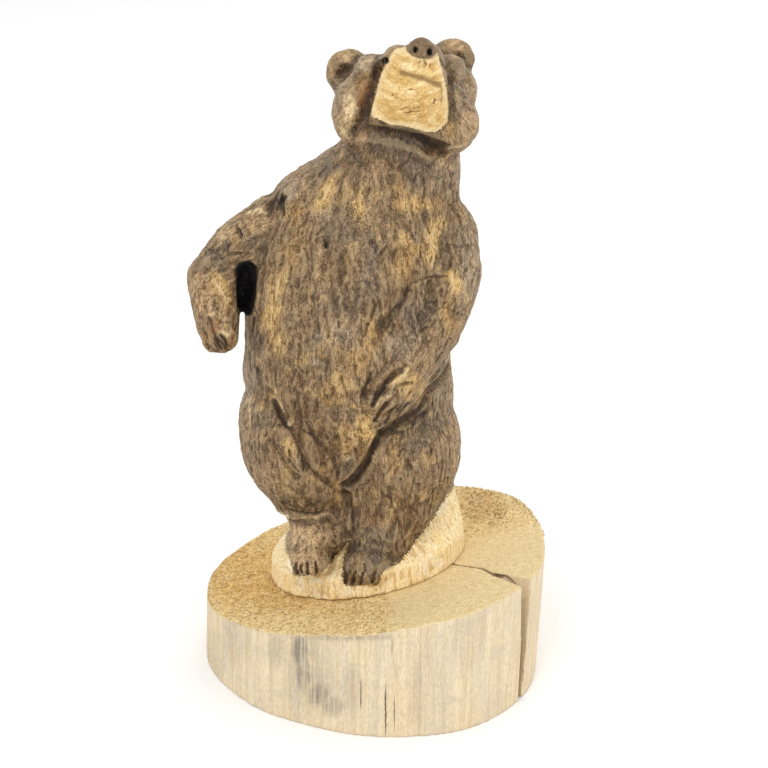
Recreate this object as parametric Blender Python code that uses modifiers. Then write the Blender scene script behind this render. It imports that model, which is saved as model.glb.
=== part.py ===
"""A chainsaw-carved wooden bear that stands up on a slanted slice of log.

The bear is one carving with the rough round footing under its feet. The slice of log under it is
the plinth, a separate piece with a sawn, sloping top and a drying cleft in its side.

Metres, +Z up. The bear looks towards -Y and its left side is at +X. The origin is the middle of
the plinth's underside.
"""

import math

import bmesh
import bpy
import numpy as np
from mathutils import Matrix, Vector
from mathutils.bvhtree import BVHTree

# Plinth: a slice of log, a little egg-shaped in plan, sawn level below and on a slope above.
SLICE_WIDTH = 0.208
SLICE_DEPTH = 0.224
SLICE_HEIGHT = 0.0577
TOP_SLOPE_X = 0.1765
TOP_SLOPE_Y = -0.1146
LOG_LEAN = 0.04
UNDER_EDGE = 0.0012
WELD_DISTANCE = 0.00005
LOG_COLOUR = (0.52, 0.38, 0.21)
LOG_ROUGHNESS = 0.8
OUTLINE_SIDES = 120
# Waves round the log, as shares of its radius: how many round, along the cosine, along the sine.
OUTLINE_WAVES = ((1, 0.026, 0.002), (2, -0.035, 0.001), (3, -0.038, -0.010), (4, -0.010, 0.0),
                 (11, 0.003, 0.002))

# Cleft: a drying split that is open at the side of the log and runs in towards its heart.
CLEFT_ANGLE = math.radians(-40)
CLEFT_TURN = math.radians(-8)
CLEFT_MOUTH_TOP = 0.0095
CLEFT_MOUTH_BELOW = 0.0022
CLEFT_TIP = 0.0012
CLEFT_LENGTH = 0.034

# Figure: everything carved keeps its proportions and follows the height above the plinth.
FIGURE_HEIGHT = 0.342
DRAWN_HEIGHT = 342.0
FIGURE_FROM_MIDDLE = (0.0012, -0.0013)
FIT_GAP = 0.0003
FOOTING_WALL = 0.014
STAIN_COLOUR = (0.22, 0.14, 0.08)
STAIN_ROUGHNESS = 0.6

# Mesh of the figure: voxel of the fused form, passes that soften its joins and the footing's edges,
# faces that are kept.
VOXEL = 0.0018
SOFTENING = 12
FOOTING_SOFTENING = 2
FIGURE_TRIANGLES = 8200

# The trunk, in drawn millimetres above the middle of the plinth's top: height, middle across, middle
# in depth, half width and half depth of each level.
TRUNK = (
    (20, -2, 8, 40, 40),
    (60, -4, 6, 50, 49),
    (90, -9, 4, 58, 55),
    (120, -14, -3, 63, 57),
    (150, -15, -8, 61, 56),
    (180, -13, -7, 61, 54),
    (205, -10, -3, 60, 52),
    (225, -7, 1, 57, 49),
    (243, -2, 4, 53, 42),
    (258, 9, 3, 42, 36),
    (272, 17, 1, 34, 33),
    (290, 16, -2, 34, 32),
)

# The muzzle, level by level in the same way: it points up, so its underside faces the front.
MUZZLE = (
    (276, 21, -10, 15, 14),
    (284, 21.5, -14, 20, 20),
    (294, 21.5, -19, 22, 25),
    (307, 22, -23, 21, 26),
    (322, 23.5, -27, 17.5, 22),
    (331, 26, -31, 13, 15),
    (335.5, 27, -33, 8.5, 10),
)

# Rounded masses: middle, then half sizes, then the lean to the side and forward in degrees.
MASSES = {
    "skull": ((18, -2, 292), (40, 35, 31), (0, -15)),
    "right cheek": ((-5, -12, 291.5), (18.7, 18, 22), (0, 0)),
    "left cheek": ((43, -12, 285), (18, 18, 18), (0, 0)),
    "left temple": ((46.5, -1, 301), (13.5, 15, 15), (0, 0)),
    "nose": ((27, -40, 334), (8.5, 7.5, 8.5), (0, -20)),
    "right brow": ((3, -13, 319.5), (13, 12, 7), (12, 0)),
    "bridge": ((14, -20, 324), (9, 14, 8), (0, 0)),
    "left brow": ((42, -12, 316), (12, 13, 10), (-20, 0)),
    "right ear": ((-13, 7, 308.5), (14.5, 7, 14.5), (-8, -10)),
    "left ear": ((45.5, 9, 316), (14, 6.5, 12.5), (4, -8)),
    "right thigh": ((-43, -19, 93), (37, 41, 50), (-12, 0)),
    "left thigh": ((17, -10, 82), (37, 44, 46), (4, 0)),
    "right instep": ((-31, -36, 38), (18, 15, 15), (0, 20)),
    "right foot": ((-38.5, -48.5, 25.5), (14.5, 13.5, 9.5), (0, 25)),
    "left instep": ((6, -36, 36), (20, 18, 19), (0, 25)),
    "left foot": ((-2.5, -51, 24), (15.5, 14, 10), (0, 25)),
    "left outstep": ((8, -38, 34), (15, 15, 13), (0, 25)),
    "between ankles": ((-14, -35, 44), (9, 11, 17), (0, 0)),
    "tail": ((-6, 54, 68), (10, 9, 13), (0, 0)),
}

# The limbs: a run of round sections, each with its middle and its radius.
LIMBS = {
    "right arm": (
        ((-55, 1, 214), 24), ((-76, -4, 205), 20.5), ((-90, -11, 191), 18.5), ((-90, -23, 174), 14.5),
        ((-88, -33, 164), 12),
    ),
    "left arm": (
        ((38, -2, 214), 24), ((40.5, -13, 194), 24), ((30, -25, 168), 23), ((18, -40, 151), 19),
        ((9, -52, 137), 16),
    ),
    "right shin": (((-41, -26, 62), 22), ((-39, -29, 42), 11.5), ((-39, -36, 34), 11)),
    "left shin": (((14, -26, 58), 27), ((5, -38, 38), 18)),
}

# Cuts of the gouge: half width, depth, then the points that each cut runs through.
CUTS = {
    "mouth": (2.4, 2.4, ((14, -47, 323.5), (25, -49, 322.5), (37, -44, 316.5))),
    "mouth corner": (2.2, 1.2, ((38, -43, 314), (39.5, -41, 304))),
    "under jaw": (6.5, 6.0, ((-6, -22, 287), (6, -30, 286), (17, -34, 284), (30, -34, 278), (42, -26, 271))),
    "beside muzzle": (6.0, 6.0, ((4, -24, 321), (-1, -26, 306), (-5, -26, 291))),
    "beside muzzle, left": (6.0, 2.5, ((45, -26, 320), (47, -27, 306), (46, -28, 293))),
    "right eye": (3.2, 3.2, ((7, -27, 324.5), (8, -28, 324))),
    "left eye": (3.2, 3.0, ((41, -26, 323), (42, -26, 322.5))),
    "right nostril": (2.2, 2.6, ((22.8, -46, 335.4), (22.8, -46, 334.4))),
    "left nostril": (2.2, 2.6, ((31.4, -46, 334.4), (31.4, -46, 333.4))),
    "lip": (2.0, 1.2, ((27, -48, 329), (26, -49, 323))),
    "right ear hollow": (8.0, 3.5, ((-13, 0, 309), (-12, 0, 306))),
    "left ear hollow": (7.0, 3.0, ((47, 2, 316), (46, 2, 313))),
    "right arm pit": (6.5, 6.0, ((-73, -16, 201), (-75, -18, 190), (-76, -20, 177))),
    "left arm": (5.0, 2.6, ((24, -44, 206), (16, -53, 191), (6, -60, 182), (3, -63, 172))),
    "left paw": (3.5, 2.6, ((20, -62, 158), (10, -66, 154), (0, -66, 143))),
    "left forearm": (5.5, 4.6, ((44, -16, 138), (34, -42, 131), (21, -52, 119), (7, -58, 111))),
    "groin left": (4.5, 4.5, ((7, -58, 111), (-1, -56, 92), (-8, -52, 81), (-14, -48, 74))),
    "groin right": (4.5, 2.6, ((-62, -46, 134), (-50, -56, 121), (-42, -58, 110), (-38, -56, 92))),
    "groin right, low": (4.5, 2.0, ((-38, -56, 92), (-27, -54, 81), (-20, -50, 72), (-15, -46, 62))),
    "right thigh fold": (3.5, 2.4, ((-57, -50, 106), (-44, -56, 86))),
    "between legs": (4.0, 2.6, ((-15, -46, 66), (-17, -44, 52), (-16, -44, 40))),
    "right ankle": (3.5, 1.6, ((-56, -26, 47), (-45, -40, 47), (-27, -40, 48))),
    "left ankle": (4.0, 0.9, ((-12, -46, 42), (4, -54, 40), (18, -48, 36))),
}

# Cuts between the toes and the fingers: first cut's start and end, step to the next, number.
COMBS = {
    "right toes": (1.7, 2.2, (-46, -52, 30), (-46.5, -60, 20), (5.2, -0.4, 0.2), 4),
    "left toes": (2.0, 2.4, (-14, -58, 26), (-15, -64, 14), (5.3, 0.0, 0.0), 4),
    "left fingers": (2.0, 2.0, (3, -68, 147), (-5, -66, 133), (6.2, 0.6, -4.2), 4),
    "right fingers": (2.0, 1.8, (-94, -40, 168), (-94, -40, 155), (5.4, -1.0, 0.0), 3),
}

# Fur: locks cut one beside another, each along the lie of the coat.
LOCK_SPACING = 10.5
LOCK_LENGTH = 21.0
LOCK_HALF_WIDTH = 3.6
LOCK_DEPTH = 0.8
LOCK_SEED = 7
NOSE_TIP = (26, -44, 337)
# The coat parts back from the nose above the neck, and follows an arm this near to its round form.
NECK_HEIGHT = 262.0
NECK_BLEND = 20.0
ARM_COAT = 2.0
# Bare wood: the muzzle above and in front of these, and everything below the ankles.
MUZZLE_LOW = 284.0
MUZZLE_BACK = -30.0
ANKLE_HEIGHT = 50.0

# The footing: a low drum, then a cone that rises to the legs. Middle, radius and height of each.
FOOTING_MIDDLE = (-3.7, 1.3)
FOOTING_RADIUS = 61.0
FOOTING_RIM_RADIUS = 59.5
FOOTING_NECK = (14.0, 16.0, 46.0)
FOOTING_NECK_RADIUS = 36.0


def unit():
    """Metres to one drawn millimetre of the figure."""
    return FIGURE_HEIGHT / DRAWN_HEIGHT


def top_height(x, y):
    """Height of the plinth's sawn top above its underside, in metres."""
    return SLICE_HEIGHT + TOP_SLOPE_X * x + TOP_SLOPE_Y * y


def top_normal():
    """Direction that the sawn top faces."""
    return Vector((-TOP_SLOPE_X, -TOP_SLOPE_Y, 1.0)).normalized()


def clear_scene():
    """Removes what the new file holds."""
    for old in list(bpy.data.objects):
        bpy.data.objects.remove(old, do_unlink=True)


def new_collection(name):
    """A collection linked to the scene."""
    made = bpy.data.collections.new(name)
    bpy.context.scene.collection.children.link(made)
    return made


def wood(name, colour, roughness):
    """A plain wood finish."""
    made = bpy.data.materials.new(name)
    made.use_nodes = True
    shader = made.node_tree.nodes["Principled BSDF"]
    shader.inputs["Base Color"].default_value = (*colour, 1.0)
    shader.inputs["Roughness"].default_value = roughness
    shader.inputs["Metallic"].default_value = 0.0
    return made


def object_of(name, mesh, collection, material=None):
    """An object that shows the mesh."""
    made = bpy.data.objects.new(name, mesh)
    collection.objects.link(made)
    if material:
        mesh.materials.append(material)
    return made


def applied(obj):
    """The object's mesh with its modifiers applied, in place of the mesh that it had."""
    graph = bpy.context.evaluated_depsgraph_get()
    mesh = bpy.data.meshes.new_from_object(obj.evaluated_get(graph), depsgraph=graph)
    obj.modifiers.clear()
    obj.data = mesh
    return mesh


# The plinth

def slice_outline():
    """The log's outline in plan: a circle with a few waves, fitted to the slice's width and depth."""
    turn = np.linspace(0.0, 2 * math.pi, OUTLINE_SIDES, endpoint=False)
    radius = np.ones(OUTLINE_SIDES)
    for waves, along_cosine, along_sine in OUTLINE_WAVES:
        radius += along_cosine * np.cos(waves * turn) + along_sine * np.sin(waves * turn)
    plan = np.column_stack([radius * np.cos(turn), radius * np.sin(turn)])
    low, high = plan.min(axis=0), plan.max(axis=0)
    return (plan - (low + high) / 2) / (high - low) * (SLICE_WIDTH, SLICE_DEPTH)


def log_blank(collection):
    """The slice before its top is sawn: the outline raised to above the highest point of the top."""
    tall = top_height(SLICE_WIDTH / 2, -SLICE_DEPTH / 2) + SLICE_HEIGHT
    curve = bpy.data.curves.new("log outline", "CURVE")
    curve.dimensions = "2D"
    curve.fill_mode = "BOTH"
    curve.extrude = tall / 2
    spline = curve.splines.new("POLY")
    outline = slice_outline()
    spline.points.add(len(outline) - 1)
    for point, (x, y) in zip(spline.points, outline):
        point.co = (x, y, 0.0, 1.0)
    spline.use_cyclic_u = True
    flat = bpy.data.objects.new("log outline", curve)
    collection.objects.link(flat)
    graph = bpy.context.evaluated_depsgraph_get()
    mesh = bpy.data.meshes.new_from_object(flat.evaluated_get(graph), depsgraph=graph)
    mesh.name = "plinth"
    bpy.data.objects.remove(flat, do_unlink=True)
    form = bmesh.new()
    form.from_mesh(mesh)
    bmesh.ops.remove_doubles(form, verts=form.verts, dist=WELD_DISTANCE)
    bmesh.ops.translate(form, verts=form.verts, vec=(0.0, 0.0, tall / 2))
    for vert in form.verts:
        vert.co.x += LOG_LEAN * vert.co.z
    form.to_mesh(mesh)
    form.free()
    return mesh


def saw_cutter(collection):
    """A block above the plinth's top, whose lower face is the saw's plane."""
    form = bmesh.new()
    reach = 2 * max(SLICE_WIDTH, SLICE_DEPTH)
    bmesh.ops.create_cube(form, size=1.0)
    bmesh.ops.scale(form, verts=form.verts, vec=(reach, reach, SLICE_HEIGHT * 3))
    bmesh.ops.translate(form, verts=form.verts, vec=(0.0, 0.0, SLICE_HEIGHT * 1.5))
    tilt = Vector((0, 0, 1)).rotation_difference(top_normal()).to_matrix()
    bmesh.ops.rotate(form, verts=form.verts, matrix=tilt)
    bmesh.ops.translate(form, verts=form.verts, vec=(0.0, 0.0, SLICE_HEIGHT))
    mesh = bpy.data.meshes.new("saw cut")
    form.to_mesh(mesh)
    form.free()
    return as_cutter(object_of("saw cut", mesh, collection))


def cleft_cutter(collection):
    """A tapered wedge: wide at the log's side and at the top, thin at its tip and below."""
    rim = slice_outline()
    angles = np.arctan2(rim[:, 1], rim[:, 0])
    mouth = rim[np.argmin(np.abs(angles - CLEFT_ANGLE))]
    inward = -Vector((mouth[0], mouth[1], 0.0)).normalized()
    inward.rotate(Matrix.Rotation(CLEFT_TURN, 3, "Z"))
    across = Vector((-inward.y, inward.x, 0.0))
    outside = Vector((mouth[0], mouth[1], 0.0)) - inward * CLEFT_LENGTH
    inside = Vector((mouth[0], mouth[1], 0.0)) + inward * CLEFT_LENGTH
    top = top_height(mouth[0], mouth[1])
    below, above = -SLICE_HEIGHT / 2, top + SLICE_HEIGHT / 2
    form = bmesh.new()
    bmesh.ops.create_cube(form, size=2.0)
    for vert in form.verts:
        end = inside if vert.co.x > 0 else outside
        height = above if vert.co.z > 0 else below
        share = height / top
        mouth_width = CLEFT_MOUTH_BELOW + (CLEFT_MOUTH_TOP - CLEFT_MOUTH_BELOW) * share
        width = CLEFT_TIP if vert.co.x > 0 else max(2 * mouth_width - CLEFT_TIP, CLEFT_TIP)
        vert.co = end + across * (width / 2 * vert.co.y) + Vector((0, 0, height))
    mesh = bpy.data.meshes.new("cleft")
    form.to_mesh(mesh)
    form.free()
    return as_cutter(object_of("cleft", mesh, collection))


def as_cutter(obj):
    """Marks an object as one that only cuts others."""
    obj.hide_render = True
    obj.display_type = "WIRE"
    return obj


def build_plinth(parts, cutters):
    """The slice of log, with its sloping top and its cleft."""
    pale = wood("pale log wood", LOG_COLOUR, LOG_ROUGHNESS)
    plinth = object_of("plinth", log_blank(parts), parts, pale)
    edge = plinth.modifiers.new("worn edges", "BEVEL")
    edge.width = UNDER_EDGE
    edge.segments = 2
    edge.angle_limit = math.radians(60)
    for name, cutter in (("saw", saw_cutter(cutters)), ("split", cleft_cutter(cutters))):
        cut = plinth.modifiers.new(name, "BOOLEAN")
        cut.operation = "DIFFERENCE"
        cut.solver = "EXACT"
        cut.object = cutter
    return plinth


# The figure

def figure_base():
    """The point of the plinth's top that the figure is drawn from."""
    x, y = FIGURE_FROM_MIDDLE
    return Vector((x, y, top_height(x, y)))


def place(point):
    """A drawn point of the figure, in metres in the part's frame."""
    return figure_base() + Vector(point) * unit()


def add_form(whole, part):
    """Adds one form's faces to the whole, and frees it."""
    mesh = bpy.data.meshes.new("mass")
    part.to_mesh(mesh)
    part.free()
    whole.from_mesh(mesh)
    bpy.data.meshes.remove(mesh)


def add_ball(whole, middle, half_sizes, lean):
    """An egg-shaped mass."""
    to_side, forward = (math.radians(a) for a in lean)
    turn = Matrix.Rotation(to_side, 4, "Y") @ Matrix.Rotation(forward, 4, "X")
    size = Matrix.Diagonal((*(r * unit() for r in half_sizes), 1.0))
    form = bmesh.new()
    bmesh.ops.create_uvsphere(
        form, u_segments=32, v_segments=20, radius=1.0,
        matrix=Matrix.Translation(place(middle)) @ turn @ size,
    )
    add_form(whole, form)


def add_limb(whole, sections):
    """Round sections joined by tapered lengths."""
    for middle, radius in sections:
        add_ball(whole, middle, (radius,) * 3, (0, 0))
    for (start, wide), (end, narrow) in zip(sections, sections[1:]):
        a, b = place(start), place(end)
        turn = Vector((0, 0, 1)).rotation_difference(b - a).to_matrix().to_4x4()
        form = bmesh.new()
        bmesh.ops.create_cone(
            form, cap_ends=True, segments=32, depth=(b - a).length,
            radius1=wide * unit(), radius2=narrow * unit(),
            matrix=Matrix.Translation((a + b) / 2) @ turn,
        )
        add_form(whole, form)


def smooth_levels(levels, steps):
    """The levels of a loft, with steps more between each two on a smooth curve through them."""
    points = np.array(levels, dtype=float)
    ends = np.vstack([2 * points[0] - points[1], points, 2 * points[-1] - points[-2]])
    rows = []
    for before, here, after, beyond in zip(ends, ends[1:], ends[2:], ends[3:]):
        for share in np.arange(steps) / steps:
            slope_here, slope_after = (after - before) / 2, (beyond - here) / 2
            cubic = 2 * here - 2 * after + slope_here + slope_after
            square = 3 * (after - here) - 2 * slope_here - slope_after
            rows.append(((cubic * share + square) * share + slope_here) * share + here)
    rows.append(points[-1])
    return rows


def add_loft(whole, levels, sides=48, steps=4):
    """A body whose level sections are ovals that change from one to the next, closed at both ends."""
    form = bmesh.new()
    rings = []
    for height, x, y, half_width, half_depth in smooth_levels(levels, steps):
        ring = []
        for turn in np.linspace(0.0, 2 * math.pi, sides, endpoint=False):
            across, deep = half_width * math.cos(turn), half_depth * math.sin(turn)
            ring.append(form.verts.new(place((x + across, y + deep, height))))
        rings.append(ring)
    for low, high in zip(rings, rings[1:]):
        for n in range(sides):
            after = (n + 1) % sides
            form.faces.new((low[n], low[after], high[after], high[n]))
    form.faces.new(reversed(rings[0]))
    form.faces.new(rings[-1])
    add_form(whole, form)


def add_drum(whole, low, low_radius, high, high_radius, low_slopes, high_slopes):
    """A round block between two middles. An end that slopes lies along the plinth's top."""
    form = bmesh.new()
    made = bmesh.ops.create_cone(form, cap_ends=True, segments=64, depth=2.0, radius1=1.0, radius2=1.0)
    for vert in made["verts"]:
        above = vert.co.z > 0
        middle, radius, slopes = (high, high_radius, high_slopes) if above else (low, low_radius, low_slopes)
        around = Vector((vert.co.x, vert.co.y, 0.0)).normalized() * radius
        rise = TOP_SLOPE_X * around.x + TOP_SLOPE_Y * around.y if slopes else 0.0
        vert.co = middle + around + Vector((0.0, 0.0, rise))
    add_form(whole, form)


def on_top(x, y, above):
    """The point that height above the plinth's top, under or over a drawn place."""
    point = place((x, y, 0.0))
    return Vector((point.x, point.y, top_height(point.x, point.y) + above))


def add_footing(whole):
    """The drum and the cone under the feet. The drum reaches into the plinth until it is sawn."""
    low, high = on_top(*FOOTING_MIDDLE, -FOOTING_WALL), on_top(*FOOTING_MIDDLE, FOOTING_WALL)
    foot, rim, neck = (r * unit() for r in (FOOTING_RADIUS, FOOTING_RIM_RADIUS, FOOTING_NECK_RADIUS))
    add_drum(whole, low, foot, high, rim, True, True)
    add_drum(whole, high, rim, place(FOOTING_NECK), neck, True, False)


def remeshed(obj, softening):
    """One skin on an even grid, softened where forms meet."""
    fuse = obj.modifiers.new("fuse", "REMESH")
    fuse.mode = "VOXEL"
    fuse.voxel_size = VOXEL
    soften = obj.modifiers.new("soften", "SMOOTH")
    soften.factor = 0.5
    soften.iterations = softening
    applied(obj)


def fused_figure(collection):
    """All masses and limbs as one soft skin, then the footing, whose edges stay crisp."""
    form = bmesh.new()
    add_loft(form, TRUNK)
    add_loft(form, MUZZLE)
    for middle, half_sizes, lean in MASSES.values():
        add_ball(form, middle, half_sizes, lean)
    for sections in LIMBS.values():
        add_limb(form, sections)
    mesh = bpy.data.meshes.new("bear")
    form.to_mesh(mesh)
    form.free()
    bear = object_of("bear", mesh, collection)
    remeshed(bear, SOFTENING)
    form = bmesh.new()
    form.from_mesh(bear.data)
    add_footing(form)
    form.to_mesh(bear.data)
    form.free()
    remeshed(bear, FOOTING_SOFTENING)
    return bear


def drawn(points):
    """Metres in the part's frame as drawn millimetres of the figure."""
    return (points - np.array(figure_base())) / unit()


def mesh_points(mesh):
    """The mesh's corners and their outward directions, as rows."""
    count = len(mesh.vertices)
    points, normals = np.empty(count * 3), np.empty(count * 3)
    mesh.vertices.foreach_get("co", points)
    mesh.vertices.foreach_get("normal", normals)
    return points.reshape(-1, 3), normals.reshape(-1, 3)


def distance_to_path(points, path):
    """Each point's distance to a path of straight lengths."""
    nearest = np.full(len(points), np.inf)
    for a, b in zip(path, path[1:]):
        run = b - a
        share = np.clip((points - a) @ run / max(run @ run, 1e-9), 0.0, 1.0)
        nearest = np.minimum(nearest, np.linalg.norm(points - a - share[:, None] * run, axis=1))
    return nearest


def smooth_path(points, steps=4):
    """The path with more points on a smooth curve through it."""
    return np.array(smooth_levels(points, steps)) if len(points) > 2 else np.array(points, dtype=float)


def carve(points, normals, skin, path, half_width, depth):
    """Presses a round-bottomed cut into the skin along a path. The path is first laid on the skin."""
    laid = np.array([skin.find_nearest(Vector(p))[0] for p in path])
    low, high = laid.min(axis=0) - half_width, laid.max(axis=0) + half_width
    near = np.flatnonzero(np.all((points > low) & (points < high), axis=1))
    away = distance_to_path(points[near], laid) / half_width
    cut = np.where(away < 1.0, (1.0 - away ** 2) ** 2, 0.0)
    moved = np.zeros_like(points)
    moved[near] = -normals[near] * (cut * depth)[:, None]
    return moved


def coat_lie(point):
    """The way the fur lies at a drawn point: along the nearest arm, back from the nose, or down."""
    for name in ("right arm", "left arm"):
        for (a, wide), (b, narrow) in zip(LIMBS[name], LIMBS[name][1:]):
            start, run = np.array(a, dtype=float), np.subtract(b, a).astype(float)
            share = np.clip((point - start) @ run / (run @ run), 0.0, 1.0)
            if np.linalg.norm(point - start - share * run) < wide + (narrow - wide) * share + ARM_COAT:
                return run / np.linalg.norm(run)
    head_share = np.clip((point[2] - NECK_HEIGHT) / NECK_BLEND, 0.0, 1.0)
    back = (point - NOSE_TIP) / np.linalg.norm(point - NOSE_TIP)
    lie = back * head_share + np.array((0.0, 0.0, -1.0)) * (1.0 - head_share)
    return lie / np.linalg.norm(lie)


def is_furred(point):
    """False on the bare muzzle, the toes and the footing."""
    on_muzzle = point[2] > MUZZLE_LOW and point[1] < MUZZLE_BACK
    return not on_muzzle and point[2] > ANKLE_HEIGHT


def lock_starts(points):
    """Places on the skin about one lock spacing apart: one in each cell of a coarse grid."""
    shuffled = points[np.random.default_rng(LOCK_SEED).permutation(len(points))]
    cells = np.floor(shuffled / LOCK_SPACING).astype(int)
    first = np.unique(cells, axis=0, return_index=True)[1]
    return shuffled[np.sort(first)]


def carve_figure(bear):
    """Cuts the face, paws, folds and fur into the fused form."""
    world, normals = mesh_points(bear.data)
    points = drawn(world)
    skin = BVHTree.FromPolygons(points.tolist(), [tuple(f.vertices) for f in bear.data.polygons])
    moved = np.zeros_like(points)
    for start in lock_starts(points):
        if is_furred(start):
            lie = coat_lie(start)
            path = (start, start + lie * LOCK_LENGTH / 2, start + lie * LOCK_LENGTH)
            moved += carve(points, normals, skin, path, LOCK_HALF_WIDTH, LOCK_DEPTH)
    for half_width, depth, path in CUTS.values():
        moved += carve(points, normals, skin, smooth_path(path), half_width, depth)
    for half_width, depth, start, end, step, number in COMBS.values():
        for n in range(number):
            path = (np.array(start) + np.multiply(step, n), np.array(end) + np.multiply(step, n))
            moved += carve(points, normals, skin, path, half_width, depth)
    carved = world + moved * unit()
    bear.data.vertices.foreach_set("co", carved.ravel())
    bear.data.update()


def thinned(bear):
    """Keeps the figure's faces to the number that the solid needs."""
    bear.data.calc_loop_triangles()
    thin = bear.modifiers.new("thin", "DECIMATE")
    thin.ratio = min(1.0, FIGURE_TRIANGLES / len(bear.data.loop_triangles))
    applied(bear)


def saw_underside(bear):
    """Cuts the footing flat along the plinth's top, a fit gap above it."""
    form = bmesh.new()
    form.from_mesh(bear.data)
    normal = top_normal()
    start = Vector((0.0, 0.0, SLICE_HEIGHT)) + normal * FIT_GAP
    whole = form.verts[:] + form.edges[:] + form.faces[:]
    bmesh.ops.bisect_plane(form, geom=whole, plane_co=start, plane_no=normal, clear_inner=True)
    bmesh.ops.holes_fill(form, edges=[e for e in form.edges if e.is_boundary])
    bmesh.ops.triangulate(form, faces=[f for f in form.faces if len(f.verts) > 4])
    bmesh.ops.recalc_face_normals(form, faces=form.faces)
    form.to_mesh(bear.data)
    form.free()


def build_bear(parts):
    """The carved figure with its footing."""
    bear = fused_figure(parts)
    carve_figure(bear)
    thinned(bear)
    saw_underside(bear)
    bear.data.materials.append(wood("stained carving", STAIN_COLOUR, STAIN_ROUGHNESS))
    bear.data.shade_smooth()
    return bear


def main():
    clear_scene()
    parts = new_collection("carved wooden bear")
    cutters = new_collection("cutters")
    build_plinth(parts, cutters)
    build_bear(parts)


main()
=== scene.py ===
"""Looks of the carved wooden bear and its slice of log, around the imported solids.

The bear is fused from the same masses as the solid, on a finer grid, and gets the gouge work of the
real carving: locks, strands, folds, face, toes. The slice of log is cut from its own solid and gets
its torn end grain, saw marks, drying cracks and weathered side.
"""

import math

import bmesh
import bpy
import numpy as np
from mathutils import Matrix, Vector, noise
from mathutils.bvhtree import BVHTree


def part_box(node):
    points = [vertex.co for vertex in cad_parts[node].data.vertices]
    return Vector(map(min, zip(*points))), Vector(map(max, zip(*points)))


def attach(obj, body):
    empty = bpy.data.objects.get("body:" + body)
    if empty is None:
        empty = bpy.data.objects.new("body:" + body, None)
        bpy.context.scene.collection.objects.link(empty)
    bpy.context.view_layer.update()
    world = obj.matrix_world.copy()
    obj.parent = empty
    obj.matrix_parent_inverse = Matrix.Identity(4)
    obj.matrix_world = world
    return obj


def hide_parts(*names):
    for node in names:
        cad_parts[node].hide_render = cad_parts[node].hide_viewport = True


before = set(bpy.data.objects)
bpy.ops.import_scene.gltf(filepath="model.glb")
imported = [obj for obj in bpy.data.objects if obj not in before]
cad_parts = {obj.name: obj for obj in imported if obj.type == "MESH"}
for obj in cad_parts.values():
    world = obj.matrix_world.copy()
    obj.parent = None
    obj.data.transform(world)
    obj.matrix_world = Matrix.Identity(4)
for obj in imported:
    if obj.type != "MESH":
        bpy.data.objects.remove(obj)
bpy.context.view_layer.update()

# Vector noise takes its offsets from the clock unless it has a seed.
NOISE_SEED = 7
noise.seed_set(NOISE_SEED)

# The view of the photograph: what it aims at, how far away, how steep, and its lens.
AIM = np.array((0.0080, -0.0520, 0.2))
DISTANCE = 1.2
ELEVATION = math.radians(24.5)
FRAME_SIDE = 768
SENSOR = 36.0
LENS = 98.4

# The plinth, as in the solid.
SLICE_HEIGHT = 0.0577
TOP_SLOPE_X = 0.1765
TOP_SLOPE_Y = -0.1146
FIGURE_HEIGHT = 0.342
DRAWN_HEIGHT = 342.0
FIGURE_FROM_MIDDLE = (0.0012, -0.0013)
FIT_GAP = 0.0003
FOOTING_WALL = 0.014

# Grid of the fused form, passes that soften its joins, and the faces that are kept.
VOXEL = 0.00105
SOFTENING = 34
FOOTING_SOFTENING = 4
BEAR_TRIANGLES = 196000
LOG_VOXEL = 0.00115
LOG_TRIANGLES = 190000

# The trunk and the muzzle in drawn millimetres: height, middle across, middle in depth, half width
# and half depth of each level.
TRUNK = (
    (20, -2, 8, 40, 40),
    (60, -4, 6, 50, 49),
    (90, -9, 4, 58, 55),
    (120, -14, -3, 63, 57),
    (150, -15, -8, 61, 56),
    (180, -13, -7, 61, 54),
    (205, -10, -3, 60, 52),
    (225, -7, 1, 57, 49),
    (243, -2, 4, 53, 42),
    (258, 9, 3, 42, 36),
    (272, 17, 1, 34, 33),
    (290, 16, -2, 34, 32),
)
MUZZLE = (
    (276, 21, -10, 15, 14),
    (284, 21.5, -14, 20, 20),
    (294, 21.5, -19, 22, 25),
    (307, 22, -23, 21, 26),
    (322, 23.5, -27, 17.5, 22),
    (331, 26, -31, 13, 15),
    (335.5, 27, -33, 8.5, 10),
)

# Rounded masses: middle, then half sizes, then the lean to the side and forward in degrees.
MASSES = {
    "skull": ((18, -2, 292), (40, 35, 31), (0, -15)),
    "right cheek": ((-5, -12, 291.5), (18.7, 18, 22), (0, 0)),
    "left cheek": ((43, -12, 285), (18, 18, 18), (0, 0)),
    "left temple": ((46.5, -1, 301), (13.5, 15, 15), (0, 0)),
    "nose": ((27, -40, 334), (8.5, 7.5, 8.5), (0, -20)),
    "right brow": ((4, -12, 317.5), (13.5, 12.5, 7), (12, 0)),
    "bridge": ((14, -20, 324), (9, 14, 8), (0, 0)),
    "left brow": ((41, -11, 314.5), (12.5, 13, 9.5), (-20, 0)),
    "right ear": ((-13, 7, 308.5), (14.5, 7, 14.5), (-8, -10)),
    "left ear": ((45.5, 9, 316), (14, 6.5, 12.5), (4, -8)),
    "right thigh": ((-43, -19, 93), (37, 41, 50), (-12, 0)),
    "left thigh": ((17, -10, 82), (37, 44, 46), (4, 0)),
    "right instep": ((-31, -36, 38), (18, 15, 15), (0, 20)),
    "right foot": ((-38.5, -48.5, 25.5), (14.5, 13.5, 9.5), (0, 25)),
    "left instep": ((6, -36, 36), (20, 18, 19), (0, 25)),
    "left foot": ((-2.5, -51, 24), (15.5, 14, 10), (0, 25)),
    "left outstep": ((8, -38, 34), (15, 15, 13), (0, 25)),
    "between ankles": ((-14, -35, 44), (9, 11, 17), (0, 0)),
    "tail": ((-6, 54, 68), (10, 9, 13), (0, 0)),
}

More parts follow.
